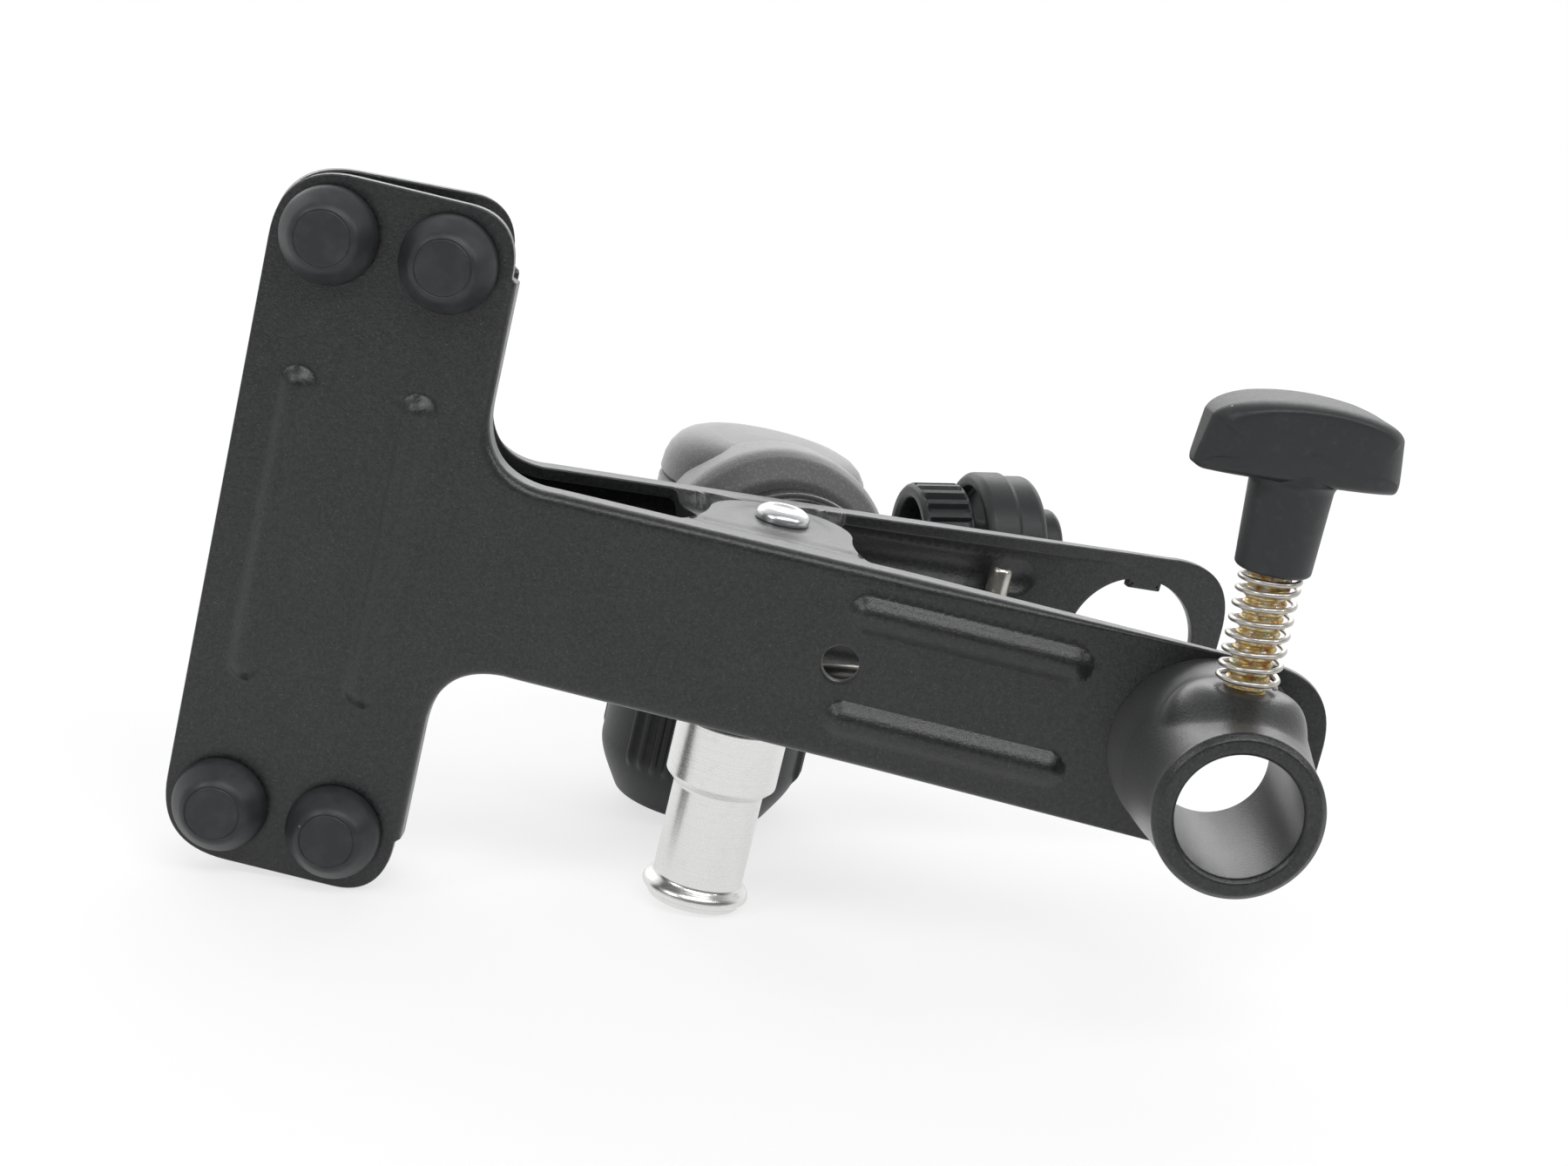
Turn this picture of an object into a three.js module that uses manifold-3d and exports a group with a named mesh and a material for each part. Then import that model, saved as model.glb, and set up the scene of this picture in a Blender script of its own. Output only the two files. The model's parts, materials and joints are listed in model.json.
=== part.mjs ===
// Spring clamp for stage and camera gear: two stamped T plates hinged on a pin that also
// carries a 16 mm spigot, a socket tube with a locking screw on the front plate, and a
// ball head with a round platform on the rear plate. Millimetres, +Z up, the clamp as it
// rests on a table: on both jaws' corners, the edge of the spigot and the ball head's knob.
import * as THREE from "three";
import { mergeVertices } from "three/addons/utils/BufferGeometryUtils.js";
import Module from "manifold-3d";

const wasm = await Module();
wasm.setup();

// Driving dimensions of the plates. Lengths along the arm are taken from the hinge pin.
const sheet = 1.7;
const jaw_reach = 73.5;
const jaw_width = 33;
const jaw_height = 96.2;
const jaw_outer_radius = 10;
const jaw_inner_radius = 8;
const arm_width_at_jaw = 26.4;
const arm_width_at_grip = 27.8;
const crotch_radius = 10;
const grip_reach = 77.1;
const grip_radius = 10;
const pin_depth = 15;
const jaw_tip_gap = 0.41;

// Bent lip along the crotch and the arm.
const lip_depth = 4.2;
const lip_full_reach = 20;
const lip_end_reach = 60;
const lip_notch_edge = 8.5;
const bend_radius = 1.3;

// Stamped ribs, holes and the tab in the grip hole.
const rib_width = 5;
const rib_height = 1.1;
const jaw_rib_length = 44;
const jaw_rib_spacing = 16.3;
const jaw_rib_offset = 0.75;
const arm_rib_end_gap = 4.5;
const arm_rib_start = 11.8;
const arm_rib_spacing = 15;
const channel_depth = 1;
const leg_hole = 5;
const leg_hole_reach = 12.3;
const head_reach = 9;
const grip_hole = 20.4;
const grip_hole_edge = 14.6;
const tab_width = 5.4;
const tab_height = 1.6;

// Hinge: ears, bolt, sleeve and washer.
const ear_radius = 10;
const ear_base = 30;
const bolt = 5.5;
const bolt_head = 7.6;
const bolt_head_height = 2;
const bolt_grip = 11;
const sleeve = 7.6;
const washer = 15;
const washer_height = 1;

// Torsion spring.
const jaw_wire = 3.3;
const jaw_coil_play = 1.9;
const jaw_wire_gap = 0.6;
const leg_reach = 38.6;
const leg_rise = 8.2;
const hook_height = 8.6;
const hook_bend = 3;

// Spigot.
const spigot = 15.7;
const spigot_neck = 12.8;
const spigot_foot = 15.2;
const spigot_shoulder_depth = 24.2;
const spigot_chamfer = 1.4;
const spigot_foot_height = 3.3;
const spigot_depth = 42.6;
const foot_edge = 0.8;

// Socket tube.
const tube = 22;
const tube_bore = 16.2;
const tube_length = 25.9;
const tube_lean = THREE.MathUtils.degToRad(5);
const tube_edge = 0.5;
const tube_spread = 2.2;
const tube_spread_length = 22;
const screw_tilt = THREE.MathUtils.degToRad(3.1);
const boss = 9.4;
const boss_height = 2.2;

// Locking screw of the socket.
const stud = 5.6;
const stud_place = 13;
const stud_tip = 4.8;
const stud_tip_height = 1.6;
const stud_tip_rest = 0.6;
const stud_in_hub = 8;
const hub_depth = 29;
const hub_height = 12;
const hub_low = 9.8;
const hub_high = 10.8;
const wing_length = 27.6;
const wing_width = 11.5;
const wing_height = 8.6;
const wing_crown = 2.4;
const wing_round = 3.4;
const wing_end_width = 7.1;
const wing_turn = THREE.MathUtils.degToRad(8);

// Compression spring under the knob.
const knob_wire = 0.75;
const knob_coil_play = 1.15;
const knob_turns = 6;
const knob_end_turns = 1;
const knob_wire_gap = 0.45;

// Rubber feet.
const foot_base = 13.2;
const foot_face = 7.4;
const foot_height = 4.8;
const foot_shoulder = 3;
const foot_round_share = 0.72;
const foot_pad = 8;
const foot_pad_height = 0.5;
const foot_hole = 5.6;
const foot_spacing = 16;
const foot_offset = 0.5;
const foot_end_place = 8.1;

// Ball head: a round base and boss square on the rear plate, and an upright barrel that
// holds the ball. Distances from the plate's outer face, heights from the ball's middle.
const head_base = 27.6;
const head_base_height = 6.2;
const base_edge = 0.8;
const base_foot_play = 0.4;
const boss_round = 36.4;
const boss_rim_step = 0.9;
const boss_face_step = 2.7;
const boss_root_step = 0.5;
const boss_rim_height = 1.9;
const boss_round_height = 4.2;
const boss_root_height = 11.4;
const barrel = 31.2;
const barrel_back = 1.6;
const barrel_overhang = 0.1;
const cap_split = 8.2;
const cap_round = 7;
const cap_top = 16;
const cap_crown = 0.4;
const ball = 17;
const ball_play = 0.35;
const swing = THREE.MathUtils.degToRad(125);
const neck = 18;
const neck_drop = 27;
const head_screw_head = 8;
const head_screw_head_height = 2;
const screw_to_ball = 2.5;

// Lock knob of the ball head.
const grip_knob = 30.8;
const grip_knob_foot = 24;
const grip_knob_taper = 6.8;
const grip_knob_waist_share = 0.735;
const grip_knob_edge = 0.8;
const grip_rib = 0.7;
const grip_rib_width = 1.2;
const grip_rib_length = 16;
const grip_ribs = 8;
const grip_rib_pitch = THREE.MathUtils.degToRad(8.2);
const grip_rib_fields = 3;
const grip_stud = 5.6;
const grip_stud_cover = 5.5;
const pad = 5.6;
const pad_height = 1.6;

// Stem, lock ring and platform. Places along the stem are taken from the ball's middle.
const stem = 8;
const stem_root = 2;
const stem_tilt = THREE.MathUtils.degToRad(8);
const ring = 19.2;
const ring_start = 25.4;
const ring_length = 8.2;
const ring_wall = 1.5;
const ring_web = 3.4;
const ring_teeth = 24;
const ring_tooth = 0.8;
const cup = 22.8;
const cup_gap = 1.3;
const cup_length = 10;
const cup_wall = 2.1;
const cup_hollow_depth = 2.4;
const cup_step = 0.5;
const cup_edge = 1.2;
const end_bush = 11.6;
const end_bush_height = 4.1;
const end_thread = 5.4;
const end_edge = 0.5;

// Clearances and working values.
const seat = 0.3;
const running = 0.3;
const overrun = 6;
const weld = 0.0005;
const round_sides = 40;
const small_sides = 20;
const corner_steps = 6;
const edge_steps = 2;
const wire_sides = 5;
const curl_steps = 8;

// Half the angle between the plates, which leaves the named gap between the jaws' tips.
const inner_depth = pin_depth - sheet;
const tip_bearing = Math.atan2(inner_depth, jaw_reach);
const lean = tip_bearing - Math.asin(jaw_tip_gap / 2 / Math.hypot(inner_depth, jaw_reach));

// Sizes that follow from the ones above.
const pin_hole = bolt + 2 * running;
const jaw_coil = sleeve + jaw_wire + jaw_coil_play;
const knob_coil = stud + knob_wire + knob_coil_play;
const foot_neck = foot_hole - 2 * seat;
const foot_row = jaw_height / 2 - foot_end_place;
const foot_edge_place = (jaw_width - foot_spacing) / 2 - foot_offset;
const jaw_rib_edge = (jaw_width - jaw_rib_spacing) / 2 - jaw_rib_offset;
const lip_notch = jaw_height / 2 - lip_notch_edge;
const grip_hole_reach = grip_reach - grip_hole_edge;
const arm_rib_end = grip_hole_reach - tube / 2 - tube_spread - arm_rib_end_gap;
const arm_rib_length = arm_rib_end - arm_rib_start;
const head_screw = leg_hole - 2 * running;
const boss_rim = boss_round - 2 * boss_rim_step;
const boss_face = boss_rim - 2 * boss_face_step;
const boss_root = boss_round - 2 * boss_root_step;
const barrel_drop = boss_round / 2 + barrel_overhang;
const base_foot = arm_rib_spacing - rib_width - 2 * base_foot_play;
const base_top = seat + head_base_height;
const boss_foot = base_top + seat;
const ball_height = boss_foot + barrel_back + barrel / 2;
const head_screw_reach = ball_height - ball / 2 - screw_to_ball;
const ring_hollow = ring - 2 * ring_tooth - 2 * ring_wall;
const cup_hollow = cup - 2 * cup_wall;
const cup_shoulder = cup - 2 * cup_step;
const cup_start = ring_start + ring_length + cup_gap;
const cup_end = cup_start + cup_length;
const end_bush_start = cup_end + seat;
const end_bush_reach = end_bush_start + end_bush_height;

const finish = {
  coated_steel: new THREE.MeshStandardMaterial({ color: 0x2c2d2d, roughness: 0.48, metalness: 0.3 }),
  rubber: new THREE.MeshStandardMaterial({ color: 0x1e2124, roughness: 0.75, metalness: 0 }),
  zinc: new THREE.MeshStandardMaterial({ color: 0xc8ccd0, roughness: 0.35, metalness: 0.9 }),
  spring_steel: new THREE.MeshStandardMaterial({ color: 0xa8a59e, roughness: 0.4, metalness: 0.9 }),
  yellow_zinc: new THREE.MeshStandardMaterial({ color: 0xb08a4a, roughness: 0.55, metalness: 0.8 }),
  aluminium: new THREE.MeshStandardMaterial({ color: 0xd4d5d6, roughness: 0.3, metalness: 0.95 }),
  moulded: new THREE.MeshStandardMaterial({ color: 0x232425, roughness: 0.6, metalness: 0 }),
  cast: new THREE.MeshStandardMaterial({ color: 0x343536, roughness: 0.65, metalness: 0.2 }),
  brass: new THREE.MeshStandardMaterial({ color: 0xb9974f, roughness: 0.4, metalness: 0.9 }),
};

// A closed geometry as a solid that can be cut and joined.
function solid(geometry) {
  const bare = geometry.index ? geometry.toNonIndexed() : geometry.clone();
  for (const key of Object.keys(bare.attributes)) {
    if (key !== "position") bare.deleteAttribute(key);
  }
  const merged = mergeVertices(bare, weld);
  const corners = merged.index.array;
  const kept = [];
  for (let i = 0; i < corners.length; i += 3) {
    const [a, b, c] = [corners[i], corners[i + 1], corners[i + 2]];
    if (a !== b && b !== c && c !== a) kept.push(a, b, c);
  }
  return new wasm.Manifold(
    new wasm.Mesh({
      numProp: 3,
      vertProperties: merged.attributes.position.array,
      triVerts: new Uint32Array(kept),
    }),
  );
}

function geometryOf(body) {
  const made = body.getMesh();
  const geometry = new THREE.BufferGeometry();
  const places = new THREE.BufferAttribute(new Float32Array(made.vertProperties), 3);
  geometry.setAttribute("position", places);
  geometry.setIndex(new THREE.BufferAttribute(new Uint32Array(made.triVerts), 1));
  geometry.computeVertexNormals();
  return geometry;
}

const joined = (bodies) => bodies.reduce((all, next) => all.add(next));
const cut = (body, tools) => tools.reduce((rest, tool) => rest.subtract(tool), body);

// A box between two corners.
function block(x0, x1, y0, y1, z0, z1) {
  const box = new THREE.BoxGeometry(x1 - x0, y1 - y0, z1 - z0);
  return box.translate((x0 + x1) / 2, (y0 + y1) / 2, (z0 + z1) / 2);
}

// A body turned about Z. Each profile point is a radius and a height, from low to high.
function turned(profile, sides = round_sides) {
  const points = profile.map(([radius, height]) => new THREE.Vector2(radius, height));
  return new THREE.LatheGeometry(points, sides).rotateX(Math.PI / 2);
}

const rod = (diameter, z0, z1, sides = small_sides) =>
  turned([[0, z0], [diameter / 2, z0], [diameter / 2, z1], [0, z1]], sides);

const tubeSection = (outer, inner, z0, z1, sides = round_sides) =>
  turned([[inner / 2, z0], [outer / 2, z0], [outer / 2, z1], [inner / 2, z1], [inner / 2, z0]], sides);

// A shape drawn in X and Z, between two depths along Y, with its edges rounded if asked.
function slab(shape, y0, y1, round = 0) {
  const settings = { depth: y1 - y0 - 2 * round, curveSegments: corner_steps };
  Object.assign(settings, { bevelEnabled: round > 0, bevelSegments: edge_steps });
  Object.assign(settings, { bevelThickness: round, bevelSize: round, bevelOffset: -round });
  return new THREE.ExtrudeGeometry(shape, settings).rotateX(Math.PI / 2).translate(0, y1 - round, 0);
}

// A slot-shaped outline with round ends, centred on x and z, its long side along X or Z.
function capsule(x, z, length, width, upright = false) {
  const shape = new THREE.Shape();
  const half = (length - width) / 2;
  const radius = width / 2;
  if (upright) {
    shape.absarc(x, z + half, radius, 0, Math.PI);
    shape.absarc(x, z - half, radius, Math.PI, 2 * Math.PI);
  } else {
    shape.absarc(x + half, z, radius, -Math.PI / 2, Math.PI / 2);
    shape.absarc(x - half, z, radius, Math.PI / 2, (3 * Math.PI) / 2);
  }
  return shape;
}

// One unbroken round wire along a list of points, closed with flat ends.
function wire(points, diameter, sides = wire_sides) {
  const places = [];
  const faces = [];
  const along = points.map((point, i) => {
    const before = points[Math.max(i - 1, 0)];
    const after = points[Math.min(i + 1, points.length - 1)];
    return after.clone().sub(before).normalize();
  });
  const upright_start = Math.abs(along[0].z) > Math.SQRT1_2;
  let side = new THREE.Vector3(upright_start ? 1 : 0, 0, upright_start ? 0 : 1);
  points.forEach((point, i) => {
    side = side.clone().sub(along[i].clone().multiplyScalar(side.dot(along[i]))).normalize();
    const over = along[i].clone().cross(side);
    for (let k = 0; k < sides; k += 1) {
      const turn = (2 * Math.PI * k) / sides;
      const spot = point.clone();
      spot.addScaledVector(side, (Math.cos(turn) * diameter) / 2);
      spot.addScaledVector(over, (Math.sin(turn) * diameter) / 2);
      places.push(spot.x, spot.y, spot.z);
    }
  });
  for (let i = 0; i + 1 < points.length; i += 1) {
    for (let k = 0; k < sides; k += 1) {
      const next = (k + 1) % sides;
      const [a, b] = [i * sides + k, i * sides + next];
      faces.push(a, b, b + sides, a, b + sides, a + sides);
    }
  }
  const last = (points.length - 1) * sides;
  for (let k = 1; k + 1 < sides; k += 1) {
    faces.push(0, k + 1, k, last, last + k, last + k + 1);
  }
  const geometry = new THREE.BufferGeometry();
  geometry.setAttribute("position", new THREE.Float32BufferAttribute(places, 3));
  geometry.setIndex(faces);
  geometry.computeVertexNormals();
  return geometry;
}

// The least gap between turns of a wire, measured on the points of its middle line.
function leastGap(name, points, diameter, steps) {
  let least = Infinity;
  points.forEach((point, i) => {
    for (let k = i + Math.ceil(steps / 2); k < points.length; k += 1) {
      least = Math.min(least, point.distanceTo(points[k]) - diameter);
    }
  });
  console.log(name + ": least gap to itself " + least.toFixed(2) + " mm");
}

const root = new THREE.Group();
const assembly = new THREE.Group();
root.add(assembly);

function place(name, shape, material, parent) {
  const geometry = shape.isBufferGeometry ? shape : geometryOf(shape);
  const mesh = new THREE.Mesh(geometry, material.clone());
  mesh.name = name;
  parent.add(mesh);
  return mesh;
}

// A plate's own frame: X towards the grip, Z up, Y from its outer face into the clamp.
// The rear plate is that stamping seen in a mirror across the middle of the wedge.
function plateFrame(mirrored) {
  const mirror = new THREE.Group();
  mirror.scale.y = mirrored ? -1 : 1;
  const turn = new THREE.Group();
  turn.rotation.z = -lean;
  const frame = new THREE.Group();
  frame.position.y = -pin_depth;
  assembly.add(mirror);
  mirror.add(turn);
  turn.add(frame);
  return frame;
}

const front = plateFrame(false);
const rear = plateFrame(true);

// The T outline, drawn inwards by an inset for the inside of the bent lip.
const jaw_inner = -jaw_reach + jaw_width;
const arm_half = (x) => {
  const share = (x - jaw_inner) / (grip_reach - jaw_inner);
  return THREE.MathUtils.lerp(arm_width_at_jaw, arm_width_at_grip, share) / 2;
};

function plateOutline(inset) {
  const shape = new THREE.Shape();
  const left = -jaw_reach + inset;
  const right = jaw_inner - inset;
  const top = jaw_height / 2 - inset;
  const outer = jaw_outer_radius - inset;
  const inner = jaw_inner_radius - inset;
  const crotch = crotch_radius + inset;
  const waist = arm_width_at_jaw / 2 - inset;
  const hand = arm_width_at_grip / 2 - inset;
  const end = grip_reach - inset;
  const round = grip_radius - inset;
  shape.moveTo(left, -top + outer);
  shape.lineTo(left, top - outer);
  shape.quadraticCurveTo(left, top, left + outer, top);
  shape.lineTo(right - inner, top);
  shape.quadraticCurveTo(right, top, right, top - inner);
  shape.lineTo(right, waist + crotch);
  shape.quadraticCurveTo(right, waist, right + crotch, waist);
  shape.lineTo(end - round, hand);
  shape.quadraticCurveTo(end, hand, end, hand - round);
  shape.lineTo(end, -hand + round);
  shape.quadraticCurveTo(end, -hand, end - round, -hand);
  shape.lineTo(right + crotch, -waist);
  shape.quadraticCurveTo(right, -waist, right, -waist - crotch);
  shape.lineTo(right, -top + inner);
  shape.quadraticCurveTo(right, -top, right - inner, -top);
  shape.lineTo(left + outer, -top);
  shape.quadraticCurveTo(left, -top, left, -top + outer);
  return shape;
}

// The lip runs at full depth past the hinge and fades out towards the grip.
function lipZone() {
  const shape = new THREE.Shape();
  const start = jaw_inner - sheet - bend_radius;
  shape.moveTo(start, -sheet);
  shape.lineTo(lip_end_reach, -sheet);
  shape.lineTo(lip_end_reach, sheet);
  shape.lineTo(lip_full_reach, lip_depth);
  shape.lineTo(start, lip_depth);
  const settings = { depth: 2 * lip_notch, bevelEnabled: false };
  return solid(new THREE.ExtrudeGeometry(shape, settings).translate(0, 0, -lip_notch));
}

function flatBlank() {
  const blank = solid(slab(plateOutline(0), 0, sheet));
  const zone = lipZone();
  const deep = lip_depth + bend_radius;
  const shell = solid(slab(plateOutline(0), 0, deep + bend_radius, bend_radius));
  const inside = solid(slab(plateOutline(sheet), sheet, deep + 2 * bend_radius + overrun));
  return blank.subtract(zone).add(shell.subtract(inside).intersect(zone));
}

// Rib places: two upright ones in the jaw, two along the arm.
function ribShapes(slimmer) {
  const shapes = [];
  const first = -jaw_reach + jaw_rib_edge;
  for (const x of [first, first + jaw_rib_spacing]) {
    shapes.push(capsule(x, 0, jaw_rib_length - slimmer, rib_width - slimmer, true));
  }
  for (const side of [1, -1]) {
    const x = arm_rib_start + arm_rib_length / 2;
    const z = (side * arm_rib_spacing) / 2;
    shapes.push(capsule(x, z, arm_rib_length - slimmer, rib_width - slimmer));
  }
  return shapes;
}

const foot_places = [];
for (const side of [1, -1]) {
  for (const step of [0, 1]) {
    const x = -jaw_reach + foot_edge_place + step * foot_spacing;
    foot_places.push([x, side * foot_row]);
  }
}

// A hinge ear: from the sheet, over the lip, to a round end about the pin.
function ear(z0, z1) {
  const shape = new THREE.Shape();
  shape.moveTo(-ear_base / 2, sheet / 2);
  shape.lineTo(ear_base / 2, sheet / 2);
  shape.quadraticCurveTo(ear_radius, pin_depth / 2, ear_radius, pin_depth);
  shape.absarc(0, pin_depth, ear_radius, 0, Math.PI);
  shape.quadraticCurveTo(-ear_radius, pin_depth / 2, -ear_base / 2, sheet / 2);
  const settings = { depth: z1 - z0, bevelEnabled: false, curveSegments: corner_steps };
  return solid(new THREE.ExtrudeGeometry(shape, settings).translate(0, 0, z0));
}

// A hole through the sheet at x and z.
function sheetHole(x, z, diameter) {
  const tool = rod(diameter, -sheet - overrun, sheet + overrun);
  return tool.rotateX(Math.PI / 2).translate(x, 0, z);
}

// The front ears lie level with the arm's edges, and the rear ears lie under them. The hole
// near the hinge is empty in the front plate, and holds the ball head's screw in the rear one.
const ear_top = arm_half(0);

function plate(ears_under, hole_reach) {
  const step = ears_under ? sheet + seat : 0;
  const upper = ear(ear_top - step - sheet, ear_top - step);
  const lower = ear(-ear_top + step, -ear_top + step + sheet);
  const ribs = ribShapes(0).map((shape) => solid(slab(shape, -rib_height, sheet / 2, rib_height / 2)));
  const channels = ribShapes(sheet).map((shape) =>
    solid(slab(shape, sheet - channel_depth, sheet + overrun)),
  );
  const holes = foot_places.map(([x, z]) => solid(sheetHole(x, z, foot_hole)));
  holes.push(solid(sheetHole(hole_reach, 0, leg_hole)));
  const tab = block(
    grip_hole_reach - tab_width / 2,
    grip_hole_reach + tab_width / 2,
    -sheet - overrun,
    sheet + overrun,
    grip_hole / 2 - tab_height,
    grip_hole / 2 + tab_height,
  );
  holes.push(solid(sheetHole(grip_hole_reach, 0, grip_hole)).subtract(solid(tab)));
  holes.push(solid(rod(pin_hole, -jaw_height, jaw_height).translate(0, pin_depth, 0)));
  return cut(joined([flatBlank(), upper, lower, ...ribs]), [...channels, ...holes]);
}

place("front_plate", plate(false, leg_hole_reach), finish.coated_steel, front);
place("rear_plate", plate(true, head_reach), finish.coated_steel, rear);

// Rubber feet: a domed head outside, a neck in the hole and a flat pad inside.
function rubberFoot() {
  const base = foot_base / 2;
  const face = foot_face / 2;
  const deep = sheet + 2 * seat;
  const profile = [
    [0, -deep - foot_pad_height],
    [foot_pad / 2, -deep - foot_pad_height],
    [foot_pad / 2, -deep],
    [foot_neck / 2, -deep],
    [foot_neck / 2, 0],
    [base, 0],
    [base, foot_shoulder / 2],
    [base * foot_round_share + face * (1 - foot_round_share), foot_shoulder],
    [face, foot_height],
    [0, foot_height],
  ];
  return turned(profile, small_sides).rotateX(Math.PI / 2).translate(0, -seat, 0);
}

for (const [side, frame] of [["front", front], ["rear", rear]]) {
  foot_places.forEach(([x, z], i) => {
    const foot = place(side + "_foot_" + (i + 1), rubberFoot(), finish.rubber, frame);
    foot.position.set(x, 0, z);
  });
}

// Hinge: the bolt goes through all four ears and the sleeve, down into the spigot.
const spigot_top = -ear_top - seat - washer_height - seat;
const bolt_bottom = spigot_top - bolt_grip;
const head_foot = ear_top + seat;

place(
  "hinge_bolt",
  turned([
    [0, bolt_bottom],
    [bolt / 2, bolt_bottom],
    [bolt / 2, head_foot],
    [bolt_head / 2, head_foot],
    [bolt_head / 2, head_foot + bolt_head_height / 2],
    [bolt / 2, head_foot + bolt_head_height],
    [0, head_foot + bolt_head_height],
  ]),
  finish.zinc,
  assembly,
);

const sleeve_end = ear_top - 2 * sheet - 2 * seat;
place(
  "hinge_sleeve",
  tubeSection(sleeve, pin_hole, -sleeve_end, sleeve_end, small_sides),
  finish.zinc,
  assembly,
);

const washer_top = -ear_top - seat;
place(
  "spigot_washer",
  tubeSection(washer, pin_hole, washer_top - washer_height, washer_top),
  finish.zinc,
  assembly,
);

// Torsion spring: both legs leave the coil at a tangent and press the grips apart. Each
// ends in a hook that lies in a rib channel of its plate.
function plateToPin(x, y, mirrored) {
  const point = new THREE.Vector2(x, y - pin_depth).rotateAround(new THREE.Vector2(), -lean);
  return new THREE.Vector2(point.x, mirrored ? -point.y : point.y);
}

function torsionPoints() {
  const radius = jaw_coil / 2;
  const lift = jaw_wire + jaw_wire_gap;
  const leg_end = plateToPin(leg_reach, sheet + seat + jaw_wire / 2, false);
  const bearing = Math.atan2(leg_end.y, leg_end.x);
  const first = bearing - Math.acos(radius / leg_end.length());
  // As many whole turns as fit between the ears, and the part turn between the two legs.
  const part_turn = 1 + first / Math.PI;
  const room = 2 * (ear_top - seat - 2 * sheet) - jaw_wire;
  const turns = Math.floor(room / lift - part_turn) + part_turn;
  const sweep = 2 * Math.PI * turns;
  const steps = Math.round(turns * curl_steps);
  const rise = turns * lift;
  const coil = [];
  for (let i = 0; i <= steps; i += 1) {
    const turn = first - (sweep * i) / steps;
    const z = -rise / 2 + (rise * i) / steps;
    coil.push(new THREE.Vector3(radius * Math.cos(turn), radius * Math.sin(turn), z));
  }
  const knee = -rise / 2 + leg_rise;
  const hook = [
    new THREE.Vector3(leg_end.x, leg_end.y, -hook_height),
    new THREE.Vector3(leg_end.x, leg_end.y, knee - hook_bend),
  ];
  const start = coil[0];
  for (let i = 1; i <= edge_steps; i += 1) {
    const turn = (i / edge_steps) * (Math.PI / 2);
    const back = (hook_bend * (1 - Math.cos(turn))) / leg_end.distanceTo(start);
    const level = new THREE.Vector3(leg_end.x, leg_end.y, 0);
    const spot = level.lerp(new THREE.Vector3(start.x, start.y, 0), back);
    spot.z = knee - hook_bend * (1 - Math.sin(turn));
    hook.push(spot);
  }
  // The rear half is the front half turned about the arm's long axis.
  const turned_over = hook.map((point) => new THREE.Vector3(point.x, -point.y, -point.z));
  return [...hook, ...coil, ...turned_over.reverse()];
}

const torsion = torsionPoints();
leastGap("torsion_spring", torsion, jaw_wire, curl_steps);
place("torsion_spring", wire(torsion, jaw_wire), finish.spring_steel, assembly);

// Spigot, bored for the hinge bolt.
const foot_top = spigot_foot_height - spigot_depth;
place(
  "spigot",
  turned([
    [0, -spigot_depth],
    [spigot_foot / 2 - foot_edge, -spigot_depth],
    [spigot_foot / 2, -spigot_depth + foot_edge],
    [spigot_foot / 2, foot_top - foot_edge],
    [spigot_neck / 2, foot_top],
    [spigot_neck / 2, -spigot_shoulder_depth - spigot_chamfer],
    [spigot / 2, -spigot_shoulder_depth],
    [spigot / 2, spigot_top],
    [pin_hole / 2, spigot_top],
    [pin_hole / 2, bolt_bottom - seat],
    [0, bolt_bottom - seat],
  ]),
  finish.aluminium,
  assembly,
);

// Socket tube: it stands on the front plate's outer face round the grip hole, spreads a
// little towards the plate, and is turned about its own line by the screw's tilt.
const socket = new THREE.Group();
socket.position.set(grip_hole_reach, 0, 0);
socket.rotation.set(0, -screw_tilt, tube_lean, "ZYX");
front.add(socket);

const tube_root = -seat - (tube / 2 + tube_spread) * Math.tan(tube_lean);
const stud_hole = stud + 2 * running;

function socketTube() {
  const length = tube_length + tube_root;
  const profile = [
    [tube_bore / 2, 0],
    [tube / 2 + tube_spread, 0],
    [tube / 2, tube_spread_length],
    [tube / 2, length - tube_edge],
    [tube / 2 - tube_edge, length],
    [tube_bore / 2 + tube_edge, length],
    [tube_bore / 2, length - tube_edge],
    [tube_bore / 2, 0],
  ];
  const wall = solid(turned(profile).rotateX(Math.PI / 2).translate(0, tube_root, 0));
  const mid_wall = (tube / 2 + tube_bore / 2) / 2;
  const collar = solid(rod(boss, mid_wall, tube / 2 + boss_height).translate(0, -stud_place, 0));
  const hole = solid(rod(stud_hole, 0, tube).translate(0, -stud_place, 0));
  return wall.add(collar).subtract(hole);
}

place("socket_tube", socketTube(), finish.coated_steel, socket);

// Locking screw: tip, stud and winged knob turn and travel on one line through the boss.
const screw = new THREE.Group();
screw.position.set(0, -stud_place, 0);
socket.add(screw);

const tip_low = tube_bore / 2 + stud_tip_rest;
const stud_low = tip_low + stud_tip_height + seat;
place("lock_tip", rod(stud_tip, tip_low, tip_low + stud_tip_height), finish.brass, screw);
place("lock_stud", rod(stud, stud_low, hub_depth + stud_in_hub), finish.yellow_zinc, screw);

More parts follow.
